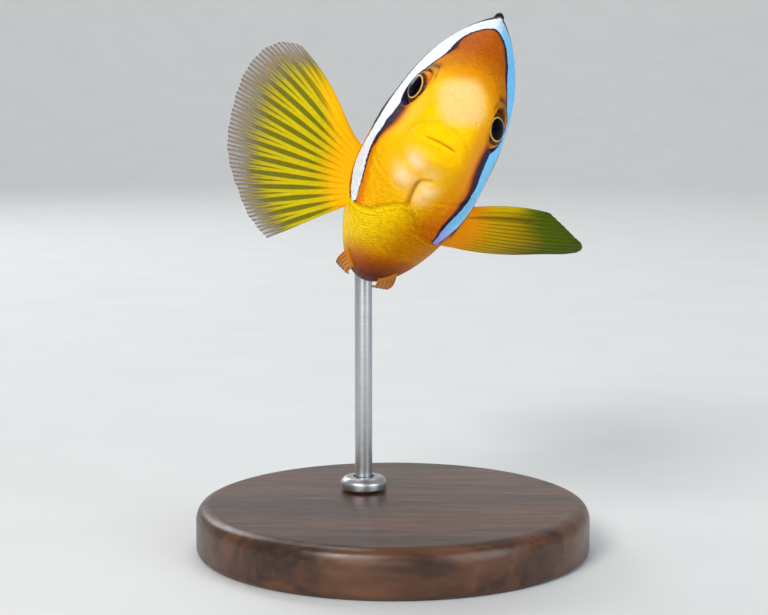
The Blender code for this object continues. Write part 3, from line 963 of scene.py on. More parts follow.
def store(item: Piece, name: str, values: Array, kind: str = "FLOAT") -> None:
    """Store values on an object's vertices.

    Args:
        item: the object.
        name: the name that they are stored under.
        values: one number or vector for each vertex.
        kind: the sort of value.
    """
    held = item.data.attributes.new(name, kind, "POINT")
    part = "vector" if kind == "FLOAT_VECTOR" else "value"
    held.data.foreach_set(part, np.asarray(values, np.float32).ravel())


def lay_flat(item: Piece, corners: Array) -> None:
    """Give an object the flat map that its colours are baked on, from a place for each face corner."""
    layer = item.data.uv_layers.new(name="OFBake")
    layer.data.foreach_set("uv", np.asarray(corners, np.float32).ravel())


def settle(item: Piece, slot: str, *nodes: str) -> None:
    """Join a finished piece to the model.

    Args:
        item: the piece.
        slot: not used.
        nodes: the solids that it takes the place of.
    """
    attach(item, "root")
    if nodes:
        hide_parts(*nodes)


class Wiring:
    """Adds nodes to a shader tree and joins them up."""

    def __init__(self, tree: bpy.types.NodeTree) -> None:
        """Work on a tree."""
        self.tree = tree

    def add(self, kind: str, inputs: dict | None = None, **settings: object) -> bpy.types.Node:
        """Add a node.

        Args:
            kind: the node's type name.
            inputs: a socket or a plain value for inputs, by name or number.
            settings: the node's own settings.

        Returns:
            The node.
        """
        node = self.tree.nodes.new(kind)
        for key, value in settings.items():
            setattr(node, key, value)
        for key, value in (inputs or {}).items():
            if isinstance(value, Socket):
                self.tree.links.new(value, node.inputs[key])
            else:
                node.inputs[key].default_value = value
        return node

    def join(self, socket: Socket, node: bpy.types.Node, name: str) -> None:
        """Join a socket to a node's input."""
        self.tree.links.new(socket, node.inputs[name])

    def held(self, name: str) -> Socket:
        """Return a value that is stored on the piece's vertices."""
        return self.add("ShaderNodeAttribute", attribute_name=name).outputs["Fac"]

    def work_out(self, operation: str, a: object, b: object) -> Socket:
        """Return two values worked together."""
        return self.add("ShaderNodeMath", {0: a, 1: b}, operation=operation).outputs[0]

    def plus(self, a: object, b: object) -> Socket:
        """Return the sum of two values."""
        return self.work_out("ADD", a, b)

    def less(self, a: object, b: object) -> Socket:
        """Return the first value less the second."""
        return self.work_out("SUBTRACT", a, b)

    def times(self, a: object, b: object) -> Socket:
        """Return two values multiplied."""
        return self.work_out("MULTIPLY", a, b)

    def span(self, value: object, low: object, high: object, to_low: float = 0.0,
             to_high: float = 1.0) -> Socket:
        """Return a value eased from one range into another."""
        inputs = {0: value, 1: low, 2: high, 3: to_low, 4: to_high}
        return self.add("ShaderNodeMapRange", inputs, interpolation_type="SMOOTHSTEP").outputs[0]

    def mix(self, share: object, first: object, second: object, kind: str = "MIX") -> Socket:
        """Mix two colours.

        Args:
            share: how much of the second there is.
            first: the first colour.
            second: the second colour.
            kind: how they blend.

        Returns:
            The mixed colour.
        """
        node = self.add("ShaderNodeMix", data_type="RGBA", blend_type=kind)
        for index, value in ((0, share), (6, first), (7, second)):
            if isinstance(value, Socket):
                self.tree.links.new(value, node.inputs[index])
            else:
                node.inputs[index].default_value = value
        return node.outputs[2]

    def bump(self, shader: bpy.types.Node, height: object, strength: float, depth: float) -> None:
        """Give a shader fine relief, of a depth in metres."""
        relief = self.add("ShaderNodeBump", {"Height": height, "Strength": strength, "Distance": depth})
        self.join(relief.outputs[0], shader, "Normal")

    def here(self) -> Socket:
        """Return the place on the piece, in its own coordinates."""
        return self.add("ShaderNodeTexCoord").outputs["Object"]

    def scaled(self, colour: object, share: object) -> Socket:
        """Return a colour made brighter or darker."""
        return self.add("ShaderNodeVectorMath", {0: colour, "Scale": share}, operation="SCALE").outputs[0]

    def effect(self, group: bpy.types.NodeTree, **inputs: object) -> bpy.types.Node:
        """Add a shared effect, with its inputs by name."""
        return self.add("ShaderNodeGroup", inputs, node_tree=group)

    def noise(self, scale: object, detail: float = 2.0, where: object = None, twist: float = 0.0) -> Socket:
        """Return soft noise over a place, or over the piece, of so many lumps to a metre."""
        inputs = {"Vector": where or self.here(), "Scale": scale, "Detail": detail, "Distortion": twist}
        return self.add("ShaderNodeTexNoise", inputs).outputs["Fac"]


def new_material(name: str) -> tuple[bpy.types.Material, Wiring, bpy.types.Node]:
    """Make a material.

    Args:
        name: its name.

    Returns:
        The material, the wiring of its tree and its Principled shader.
    """
    made = bpy.data.materials.new(name)
    made.use_nodes = True
    return made, Wiring(made.node_tree), made.node_tree.nodes["Principled BSDF"]


def wear(item: Piece, finish: bpy.types.Material) -> None:
    """Give a piece a finish in place of any that it has."""
    item.data.materials.clear()
    item.data.materials.append(finish)


def new_group(name: str, inputs: dict[str, tuple[str, object]], outputs: dict[str, str]
              ) -> tuple[bpy.types.NodeTree, Wiring, bpy.types.Node, bpy.types.Node]:
    """Make an empty shader group.

    Args:
        name: the group's name.
        inputs: socket type and starting value by name.
        outputs: socket type by name.

    Returns:
        The group, its wiring, its input node and its output node.
    """
    group = bpy.data.node_groups.new(name, "ShaderNodeTree")
    for key, (kind, value) in inputs.items():
        group.interface.new_socket(key, in_out="INPUT", socket_type=kind).default_value = value
    for key, kind in outputs.items():
        group.interface.new_socket(key, in_out="OUTPUT", socket_type=kind)
    wiring = Wiring(group)
    return group, wiring, wiring.add("NodeGroupInput"), wiring.add("NodeGroupOutput")


def mottle_group() -> bpy.types.NodeTree:
    """Find or make the shared effect that breaks a colour up into lighter and darker flecks.

    Returns:
        The effect's shader group.
    """
    known = bpy.data.node_groups.get("mottle")
    if known:
        return known
    group, wires, given, out = new_group(
        "mottle",
        {"Color": ("NodeSocketColor", (1, 1, 1, 1)), "Amount": ("NodeSocketFloat", 0.2),
         "Fine": ("NodeSocketFloat", 900.0)},
        {"Color": "NodeSocketColor", "Fleck": "NodeSocketFloat"})
    where = wires.here()
    fine = wires.noise(given.outputs["Fine"], 3.0, where)
    broad = wires.noise(120.0, 2.0, where)
    both = wires.plus(wires.times(fine, 0.6), wires.times(broad, 0.4))
    swing = wires.span(both, 0.3, 0.7, -1.0, 1.0)
    bright = wires.plus(wires.times(swing, given.outputs["Amount"]), 1.0)
    wires.join(wires.scaled(given.outputs["Color"], bright), out, "Color")
    wires.join(both, out, "Fleck")
    return group


@dataclass(frozen=True)
class SkinFinish:
    """Golden skin with white bars edged in purple black, black flanks and a yellow breast, with shade,
    highlights and cool light painted on it.
    """

    gold: Colour = paint(254, 190, 2)
    crown: Colour = paint(182, 88, 2)
    # orange of the cheeks: their own by the bars, and painted shade over the left cheek
    cheek: Colour = paint(222, 104, 4)
    breast: Colour = paint(255, 211, 2)
    # painted shade: brown on the breast's left side, its bottom and low on the left gill cover
    under: Colour = paint(196, 98, 2)
    # painted shade: deep brown along the bottom of the breast
    deep: Colour = paint(104, 36, 3)
    # painted highlight: the peach glare on the snout
    pale: Colour = paint(244, 192, 120)
    # painted highlights: the light glare on the chin
    blotch: Colour = paint(255, 219, 160)
    # painted shade in the creases of the head
    crease: Colour = paint(140, 72, 3)
    # the eyes' dark surround: partly its own, partly painted shade
    smudge: Colour = paint(44, 18, 26)
    black: Colour = paint(17, 14, 22)
    bar_rim: Colour = paint(24, 14, 52)
    rim_brown: Colour = paint(70, 28, 18)
    bar_white: Colour = paint(250, 250, 255)
    # the bars' own bluish white, and the painted cool blue of their shaded left side
    bar_blue: Colour = paint(122, 206, 255)
    # painted cool shade: lilac low on the left of the head bar
    bar_lilac: Colour = paint(158, 156, 255)
    fleck: Colour = paint(120, 52, 10)

    def markings_and_light_group(self) -> bpy.types.NodeTree:
        """Find or make the shared effect that turns the stored markings, with the shade, highlights and cool
        light painted among them, into the fish's colours.

        Returns:
            The effect's shader group.
        """
        known = bpy.data.node_groups.get("fish_markings")
        if known:
            return known
        group, wires, given, out = new_group(
            "fish_markings", {"Ragged": ("NodeSocketFloat", 0.1)},
            {"Color": "NodeSocketColor", "White": "NodeSocketFloat", "Black": "NodeSocketFloat"})
        held = {name: wires.held(name) for name in
                ("bar", "rim", "black", "crown", "cheek", "breast", "under", "deep", "pale", "blotch",
                 "smudge", "crease", "blue", "lilac", "speck")}
        ragged = wires.times(wires.less(wires.noise(1400.0, 2.0), 0.5), given.outputs["Ragged"])
        # the cheeks' orange: their own by the bars, and painted shade over the left cheek
        colour = wires.mix(held["cheek"], self.gold, self.cheek)
        colour = wires.mix(held["crown"], colour, self.crown)
        # painted highlight: the peach glare on the snout
        colour = wires.mix(wires.times(held["pale"], 0.9), colour, self.pale)
        # painted highlights of glare on the chin
        colour = wires.mix(held["blotch"], colour, self.blotch)
        colour = wires.mix(held["breast"], colour, self.breast)
        # painted shade on the breast's left side, its bottom and low on the left gill cover
        colour = wires.mix(held["under"], colour, self.under)
        # painted shade along the bottom of the breast
        colour = wires.mix(held["deep"], colour, self.deep)
        grain = wires.span(wires.noise(2600.0, 1.0), 0.42, 0.6)
        colour = wires.mix(wires.times(wires.times(held["speck"], grain), 0.9), colour, self.fleck)
        # painted shade in the creases of the head
        colour = wires.mix(wires.times(held["crease"], 0.8), colour, self.crease)
        # the eyes' dark surround: partly its own, partly painted shade
        colour = wires.mix(wires.times(held["smudge"], 0.92), colour, self.smudge)
        cloud = wires.times(wires.less(wires.noise(420.0, 3.0), 0.5), 3.0)
        dark = wires.span(wires.plus(held["black"], cloud), -0.5, 0.7)
        colour = wires.mix(dark, colour, self.black)
        bar = wires.plus(held["bar"], ragged)
        near = wires.work_out("DIVIDE", wires.plus(bar, held["rim"]), wires.plus(held["rim"], 0.02))
        rim = wires.mix(wires.span(near, 0.05, 0.75), self.rim_brown, self.bar_rim)
        colour = wires.mix(wires.span(near, -0.3, 0.32), colour, rim)
        white = wires.span(bar, -0.07, 0.07)
        # painted cool shade: the bars turn blue on the left side, over a faint blue of their own
        bar_colour = wires.mix(held["blue"], self.bar_white, self.bar_blue)
        # painted cool shade: lilac low on the left of the head bar
        bar_colour = wires.mix(held["lilac"], bar_colour, self.bar_lilac)
        colour = wires.mix(white, colour, bar_colour)
        for socket, name in ((colour, "Color"), (white, "White"), (dark, "Black")):
            wires.join(socket, out, name)
        return group

    def material(self, name: str, scaled: bool) -> bpy.types.Material:
        """Make the material for bare skin, or for the scales over it.

        Args:
            name: the material's name.
            scaled: whether it is for scales.

        Returns:
            The material.
        """
        made, wires, shader = new_material(name)
        markings = wires.effect(self.markings_and_light_group(), Ragged=0.14 if scaled else 0.18)
        colour = markings.outputs["Color"]
        if scaled:
            tinted = wires.span(wires.held("tint"), 0.0, 1.0, 0.9, 1.08)
            rim = wires.plus(0.06, wires.times(wires.held("crown"), 0.6))
            rim = wires.less(1.0, wires.times(wires.span(wires.held("edge"), 0.25, 0.75), rim))
            colour = wires.scaled(colour, wires.times(tinted, rim))
        mottle = wires.effect(mottle_group(), Color=colour, Amount=0.05 if scaled else 0.08, Fine=1500.0)
        wires.join(mottle.outputs["Color"], shader, "Base Color")
        cells = wires.add("ShaderNodeTexVoronoi", {"Vector": wires.here(), "Scale": 2300.0},
                          feature="DISTANCE_TO_EDGE")
        pores = wires.span(cells.outputs["Distance"], 0.0, 0.16)
        height = wires.plus(wires.times(pores, 0.5), wires.noise(5200.0, 2.0))
        wires.bump(shader, height, 0.16 if scaled else 0.1, 0.00004)
        rough = wires.span(mottle.outputs["Fleck"], 0.3, 0.7, 0.38, 0.5)
        wires.join(rough, shader, "Roughness")
        shader.inputs["Specular IOR Level"].default_value = 0.035
        return made

    def dress(self, item: Piece, scaled: bool = False) -> None:
        """Give a piece of skin or scales its material."""
        wear(item, self.material(item.name, scaled))


@dataclass(frozen=True)
class ScaleSize:
    """One sort of scale: how many go round the body, how it is made and how plainly its edge shows."""

    round_count: int
    thickness: float
    lift: float
    corners: int
    edge_shade: float

    def plate(self) -> Piece:
        """Make one scale: a thin closed plate, domed above, rounded at its free edge.

        Returns:
            The scale, of size one.
        """
        rim, half = self.corners, self.corners // 2
        turn = 2 * math.pi * np.arange(rim) / rim
        over, along = np.sin(turn), np.cos(turn)
        outer = np.stack([0.5 * over * (1 - 0.12 * along), 0.32 + 0.7 * along, 0 * turn], axis=-1)
        inner = np.stack([0.3 * over[::2], 0.3 + 0.42 * along[::2], np.full(half, 0.85)], axis=-1)
        points = np.vstack([outer, inner, [[0, 0.28, 1.0]]])
        faces = []
        for k in range(half):
            a, b, c = 2 * k, 2 * k + 1, (2 * k + 2) % rim
            p, q = rim + k, rim + (k + 1) % half
            faces += [(p, b, a), (p, q, b), (q, c, b), (p, rim + half, q)]
        faces.append(tuple(range(rim)))
        made = make_mesh("scale_form", points, faces)
        store(made, "edge", np.clip((points[:, 1] + 0.38) / 1.4, 0, 1) * self.edge_shade)
        store(made, "own", points, "FLOAT_VECTOR")
        return made


@dataclass
class ScaleCoat:
    """The scales: solid rounded plates in staggered rows over the skin, lying back along the body."""

    skin: FishSkin
    fine: ScaleSize = ScaleSize(150, 0.034, math.radians(2.2), 8, 0.6)
    middling: ScaleSize = ScaleSize(112, 0.06, math.radians(4.4), 12, 0.92)
    broad: ScaleSize = ScaleSize(84, 0.07, math.radians(5.2), 12, 1.0)
    fine_belt: tuple[float, float, float] = (2.0, 20.0, 28.0)
    middling_belt: tuple[float, float] = (28.0, 37.0)
    broad_belt: tuple[float, float, float] = (37.0, 64.0, 79.4)
    bare_front: Knots = (
        (-13, 9.4), (-8, 9.4), (-5, 9), (-2, 8.4), (2, 7.7), (10, 7.5), (12, 6.6),
        (14, 5.4), (24, 5))
    overlap: float = 1.6

    def covered(self, points: Array, s: Array) -> Array:
        """Find how fully grown the scales are.

        Args:
            points: points of the skin.
            s: how far behind the snout they lie.

        Returns:
            The growth, 0 where the skin is bare.
        """
        level, front = np.array(self.bare_front).T
        front = np.interp(points[:, 2], level, front)
        grown = smooth(front - 0.6, front + 1.0, s)
        for eye in self.skin.eyes:
            grown *= smooth(3.8, 4.4, eye.ring(points))
        gill = np.abs(self.skin.gill(points) - 0.05)
        return grown * np.maximum(smooth(0.1, 0.9, gill), smooth(3.5, 6.5, points[:, 2]))

    def border(self, share: Array) -> Array:
        """Return how far the border between two sorts of scale strays from its place, round the body."""
        return 0.8 * np.sin(2 * np.pi * (4 * share + 0.15)) + 0.5 * np.sin(2 * np.pi * (11 * share + 0.4))

    def rows(self, size: ScaleSize, start: float, end: float) -> list[Array]:
        """Lay out staggered rows of scales over a stretch of the body.

        Args:
            size: the sort of scale.
            start: where the stretch begins behind the snout.
            end: where it ends.

        Returns:
            How far behind the snout each scale lies, its share of the way round and the step to the next.
        """
        body, many = self.skin.body, size.round_count
        rows = []
        run = float(body.run_of(max(start - self.overlap, 2.2)))
        while body.behind(run) < min(end + self.overlap, self.broad_belt[-1] + 0.2):
            s = float(body.behind(run))
            step = float(np.clip(0.6 * body.girth(s) / many, 0.3, 0.8))
            share = (np.arange(many) + 0.5 * (len(rows) % 2)) / many
            rows.append((np.full(many, s), share, np.full(many, step)))
            run += step
        return [np.concatenate(part) for part in zip(*rows)]

    def roots(self, size: ScaleSize, start: float, end: float) -> dict[str, Array]:
        """Lay out one belt of scales.

        Args:
            size: the sort of scale.
            start: where the belt begins behind the snout.
            end: where it ends.

        Returns:
            Where the scales are rooted, how they lie and how large they are.
        """
        body = self.skin.body
        rng = np.random.default_rng(SEED + size.round_count)
        s, share, step = self.rows(size, start, end)
        stray = self.border(share)
        begun = s >= (0 if start == self.fine_belt[0] else start + stray)
        inside = begun & (s < (body.length if end == self.broad_belt[-1] else end + stray))
        s, share, step = s[inside], share[inside], step[inside]
        share = share + rng.normal(0, 0.05 / size.round_count, len(share))
        points = self.skin.surface(s, share)
        grown = self.covered(points, s)
        keep = grown > 0.12
        s, share, step, points, grown = s[keep], share[keep], step[keep], points[keep], grown[keep]
        q = np.sqrt(s)
        surface = self.skin.surface
        back = unit(surface((q + 0.03) ** 2, share) - surface((q - 0.03) ** 2, share))
        out = unit(np.cross(surface(s, share + 0.003) - surface(s, share - 0.003), back))
        across = np.cross(back, out)
        lift = size.lift + rng.normal(0, math.radians(0.7), len(s))
        raised = back * np.cos(lift)[:, None] + out * np.sin(lift)[:, None]
        upright = np.cross(across, raised)
        wide = 1.3 * body.girth(s) / size.round_count
        scale = np.stack([wide, 1.5 * step, np.full(len(s), size.thickness)], axis=-1)
        scale *= (0.55 + 0.45 * grown)[:, None] * rng.uniform(0.94, 1.06, (len(s), 1))
        return {"s": s, "share": share % 1.0, "points": points - out * 0.02, "across": across, "back": raised,
                "out": upright, "size": scale, "tint": rng.uniform(0, 1, len(s))}

    def tree(self) -> bpy.types.GeometryNodeTree:
        """Make the tree that sets a plate on every root and makes them one mesh.

        Returns:
            The tree.
        """
        tree = bpy.data.node_groups.new("lay_scales", "GeometryNodeTree")
        for name, way, kind in (("Roots", "INPUT", "Geometry"), ("Plate", "INPUT", "Object"),
                                ("Thickness", "INPUT", "Float"), ("Finish", "INPUT", "Material"),
                                ("Scales", "OUTPUT", "Geometry")):
            tree.interface.new_socket(name, in_out=way, socket_type="NodeSocket" + kind)
        wires = Wiring(tree)
        given = wires.add("NodeGroupInput")
        plate = wires.add("GeometryNodeObjectInfo", {"Object": given.outputs["Plate"]},
                          transform_space="ORIGINAL")
        turn, size = (wires.add("GeometryNodeInputNamedAttribute", {"Name": name}, data_type="FLOAT_VECTOR")
                      for name in ("turn", "size"))
        thick = wires.add("ShaderNodeCombineXYZ", {"X": 1.0, "Y": 1.0, "Z": given.outputs["Thickness"]})
        sized = wires.add("ShaderNodeVectorMath", {0: size.outputs["Attribute"], 1: thick.outputs[0]},
                          operation="MULTIPLY")
        spin = wires.add("FunctionNodeEulerToRotation", {0: turn.outputs["Attribute"]})
        laid = wires.add("GeometryNodeInstanceOnPoints", {
            "Points": given.outputs["Roots"], "Instance": plate.outputs["Geometry"],
            "Rotation": spin.outputs[0], "Scale": sized.outputs[0]})
        solid = wires.add("GeometryNodeRealizeInstances", {"Geometry": laid.outputs[0]})
        finished = wires.add("GeometryNodeSetMaterial", {"Geometry": solid.outputs[0],
                                                         "Material": given.outputs["Finish"]})
        wires.add("NodeGroupOutput", {0: finished.outputs[0]})
        return tree

    def build(self, pose: Pose, marks: MarkingsAndPaintedLight, finish: SkinFinish) -> list[Piece]:
        """Lay the scales on the skin, a piece for each length of the body.

        Args:
            pose: how the fish hangs on its stand.
            marks: the fish's markings.
            finish: the skin's finish.

        Returns:
            The pieces of the coat.
        """
        tree = self.tree()
        made = []
        belts = (self.fine_belt, self.middling_belt, self.broad_belt)
        for size, places in zip((self.fine, self.middling, self.broad), belts):
            roots = self.roots(size, places[0], places[-1])
            plate = size.plate()
            cuts = [-math.inf, *places[1:-1], math.inf]
            for start, end in zip(cuts, cuts[1:]):
                inside = (roots["s"] >= start) & (roots["s"] < end)
                part = {key: values[inside] for key, values in roots.items()}
                piece = self.lay(f"scales_{len(made) + 1}", part, plate, tree, pose)
                self.mark(piece, pose, marks)
                finish.dress(piece, scaled=True)
                settle(piece, "orange_skin")
                made.append(piece)
            bpy.data.objects.remove(plate)
        return made

    def lay(self, name: str, roots: dict[str, Array], plate: Piece, tree: bpy.types.GeometryNodeTree,
            pose: Pose) -> Piece:
        """Set a scale on every root and make them one mesh.

        Args:
            name: the piece's name.
            roots: the roots of its scales.
            plate: one scale.
            tree: the tree that lays the scales.
            pose: how the fish hangs on its stand.

        Returns:
            The piece, with what it was laid by still stored on it.
        """
        points = make_mesh(name + "_roots", pose.place(roots["points"]), [])
        across, back, out = (pose.aim(roots[key]) for key in ("across", "back", "out"))
        turn = np.stack([np.arctan2(back[:, 2], out[:, 2]), np.arcsin(np.clip(-across[:, 2], -1, 1)),
                         np.arctan2(across[:, 1], across[:, 0])], axis=-1)
        flat = np.stack([roots["share"], roots["s"] / self.skin.body.length, 0 * roots["s"]], axis=-1)
        store(points, "tint", roots["tint"])
        for key, values in (("turn", turn), ("size", roots["size"] * MM), ("rooted", roots["points"]),
                            ("flat_place", flat)):
            store(points, key, values, "FLOAT_VECTOR")
        layer = points.modifiers.new("lay_scales", "NODES")
        layer.node_group = tree
        sockets = {item.name: item.identifier for item in tree.interface.items_tree if item.in_out == "INPUT"}
        layer[sockets["Plate"]] = plate
        layer[sockets["Thickness"]] = 1.0
        graph = bpy.context.evaluated_depsgraph_get()
        mesh = bpy.data.meshes.new_from_object(points.evaluated_get(graph))
        points.modifiers.clear()
        bpy.data.objects.remove(points)
        mesh.name = name
        return show(name, mesh)

    def mark(self, made: Piece, pose: Pose, marks: MarkingsAndPaintedLight) -> None:
        """Give a piece of the coat its markings and its flat map, in place of what it was laid by.

        Args:
            made: the piece.
            pose: how the fish hangs on its stand.
            marks: the fish's markings, read partly at each scale's root and partly where it ends.
        """
        mesh = made.data
        spots = np.empty(len(mesh.vertices) * 3, np.float32)
        mesh.vertices.foreach_get("co", spots)
        own_spots = pose.unplace(spots.reshape(-1, 3).astype(float))
        marks.write(made, own_spots * 0.45 + self.read(mesh, "rooted") * 0.55)
        corner = np.empty(len(mesh.loops), np.int32)
        mesh.loops.foreach_get("vertex_index", corner)
        place = self.read(mesh, "flat_place") + self.read(mesh, "own") * 0.003
        lay_flat(made, place[corner, :2])
        for spare in ("turn", "size", "rooted", "flat_place", "own"):
            if spare in mesh.attributes:
                mesh.attributes.remove(mesh.attributes[spare])

    def read(self, mesh: bpy.types.Mesh, name: str) -> Array:
        """Read stored vectors.

        Args:
            mesh: the mesh that holds them on its vertices.
            name: the name that they are stored under.

        Returns:
            The vectors, one a row.
        """
        values = np.empty(len(mesh.vertices) * 3, np.float32)
        mesh.attributes[name].data.foreach_get("vector", values)
        return values.reshape(-1, 3).astype(float)


@dataclass(frozen=True)
class EyeFinish:
    """A wet eye: black pupil, thin gold ring, lilac at its rear in painted blue light, dark purple brown
    iris, orange limb.
    """

    pupil_edge: float = 1.68
    gold_edge: float = 1.87
    iris_edge: float = 2.35
    pupil: Colour = paint(2, 2, 6)
    gold: Colour = paint(216, 172, 88)
    # painted blue light on the gold ring's shaded rear
    lilac: Colour = paint(196, 186, 236)
    iris: Colour = paint(38, 16, 30)
    limb: Colour = paint(214, 128, 6)

    def dress(self, item: Piece) -> None:
        """Give an eye its material.

        Args:
            item: the eye.
        """
        made, wires, shader = new_material(item.name)
        rear = wires.held("rear")
        wobble = wires.times(wires.less(wires.noise(900.0, 2.0), 0.5), 0.1)
        ring = wires.plus(wires.held("ring"), wobble)
        streak = wires.span(wires.noise(2600.0, 3.0), 0.35, 0.65)
        iris = wires.mix(wires.times(streak, 0.16), self.iris, self.limb)
        outer = wires.mix(wires.span(rear, 0.1, 0.6), self.limb, self.iris)
        # the gold ring turns lilac at its rear: painted blue light
        bright = wires.mix(rear, self.gold, self.lilac)
        inner = wires.span(ring, self.pupil_edge - 0.04, self.pupil_edge + 0.04)
        colour = wires.mix(inner, self.pupil, bright)
        colour = wires.mix(wires.span(ring, self.gold_edge - 0.04, self.gold_edge + 0.05), colour, iris)
        colour = wires.mix(wires.span(ring, self.iris_edge - 0.1, self.iris_edge + 0.25), colour, outer)
        wires.join(colour, shader, "Base Color")
        wires.join(wires.span(ring, 1.5, 2.6, 0.12, 0.3), shader, "Roughness")
        shader.inputs["Specular IOR Level"].default_value = 0.06
        wear(item, made)


@dataclass
class Eye:
    """One eye: a lens-shaped ball in its seat."""

    seat: EyeSeat
    finish: EyeFinish = EyeFinish()
    rings: int = 40
    spokes: int = 72

    def build(self, pose: Pose) -> Piece:
        """Make the eye and dress it.

        Args:
            pose: how the fish hangs on its stand.

        Returns:
            The eye's object.
        """
        name = "eye_" + self.seat.side.name.lower()
        polar = np.pi * np.arange(1, self.rings) / self.rings
        turn = 2 * np.pi * np.arange(self.spokes) / self.spokes
        p, t = np.meshgrid(polar, turn, indexing="ij")
        radius, depth = self.seat.radius, self.seat.depth
        ball = np.stack([radius * np.sin(p) * np.cos(t), radius * np.sin(p) * np.sin(t), depth * np.cos(p)],
                        axis=-1)
        own = np.vstack([ball.reshape(-1, 3), [[0, 0, depth]], [[0, 0, -depth]]])
        n, last = self.spokes, (self.rings - 2) * self.spokes
        top, foot = len(own) - 2, len(own) - 1
        faces = []
        for k in range(n):
            after = (k + 1) % n
            faces.append((top, k, after))
            for low in range(0, last, n):
                faces.append((low + k, low + n + k, low + n + after, low + after))
            faces.append((foot, last + after, last + k))
        placed = own @ self.seat.ball_turn.T + self.seat.middle
        made = make_mesh("ball_" + name, pose.place(placed), faces)
        store(made, "ring", np.where(own[:, 2] > -0.05, np.hypot(own[:, 0], own[:, 1]), radius))
        store(made, "rear", smooth(-0.05, 0.6, (placed[:, 1] - self.seat.middle[1]) / radius))
        self.finish.dress(made)
        settle(made, "eye", name)
        return made


@dataclass(frozen=True)
class FinFinish:
    """Bright rays on a thinner web, both fading along the fin, with painted shade beside the rays and in the
    folds where a fin has them.
    """

    root: Colour
    ray: Colour
    ray_tip: Colour
    web: Colour
    web_tip: Colour
    margin: Colour
    lead: Colour = paint(246, 176, 6)
    # painted shade: the dark of the lines beside the rays and of the folds
    line: Colour = paint(66, 54, 6)
    root_reach: float = 0.2
    tip_start: float = 0.6
    web_clear: float = 0.75
    margin_clear: float = 0.4
    margin_start: float = 0.86
    margin_blend: float = 0.13
    root_lines: float = 0.0
    lead_share: float = 0.0
    lead_hold: float = 0.0
    ray_shade_share: float = 0.0

    def dress(self, item: Piece) -> None:
        """Give a fin its material.

        Args:
            item: the fin.
        """
        made, wires, shader = new_material(item.name)
        along, ray, rooted = wires.held("along"), wires.held("ray"), wires.held("rooted")
        drift = wires.times(wires.less(wires.noise(260.0, 3.0), 0.5), 0.16)
        reach = wires.plus(along, drift)
        tip = wires.span(reach, self.tip_start, min(self.tip_start + 0.45, 1.05))
        rays = wires.mix(tip, self.ray, self.ray_tip)
        web = wires.mix(tip, self.web, self.web_tip)
        colour = wires.mix(ray, web, rays)
        # painted shade: thin dark lines along both edges of each ray
        beside = wires.times(wires.span(ray, 0.02, 0.3), wires.span(ray, 0.75, 0.35))
        colour = wires.mix(wires.times(beside, self.ray_shade_share), colour, self.line)
        held_back = wires.times(wires.held("lead"), self.lead_hold)
        margin = wires.span(reach, self.margin_start, self.margin_start + self.margin_blend)
        margin = wires.times(margin, wires.less(1.0, held_back))
        colour = wires.mix(wires.times(margin, 0.85), colour, self.margin)
        colour = wires.mix(wires.times(wires.held("lead"), self.lead_share), colour, self.lead)
        lines = wires.times(wires.less(1.0, ray), self.root_lines)
        root = wires.mix(lines, self.root, self.web)
        colour = wires.mix(rooted, colour, root)
        # painted shade in the fin's folds
        colour = wires.mix(wires.times(wires.held("fold"), 0.6), colour, self.line)
        mottle = wires.effect(mottle_group(), Color=colour, Amount=0.08, Fine=1800.0)
        wires.join(mottle.outputs["Color"], shader, "Base Color")
        clear = wires.mix(margin, (self.web_clear,) * 3 + (1,), (self.margin_clear,) * 3 + (1,))
        solid = wires.mix(margin, (1, 1, 1, 1), (0.86, 0.86, 0.86, 1))
        alpha = wires.mix(ray, clear, solid)
        alpha = wires.mix(rooted, alpha, (1, 1, 1, 1))
        wires.join(alpha, shader, "Alpha")
        out_along = wires.add("ShaderNodeCombineXYZ", {"X": along}).outputs[0]
        joints = wires.add("ShaderNodeTexWave", {"Vector": out_along, "Scale": 26.0, "Distortion": 0.0})
        height = wires.plus(wires.times(joints.outputs["Fac"], ray), wires.noise(4200.0, 2.0))
        wires.bump(shader, height, 0.25, 0.00005)
        shader.inputs["Roughness"].default_value = 0.45
        shader.inputs["Specular IOR Level"].default_value = 0.06
        wear(item, made)


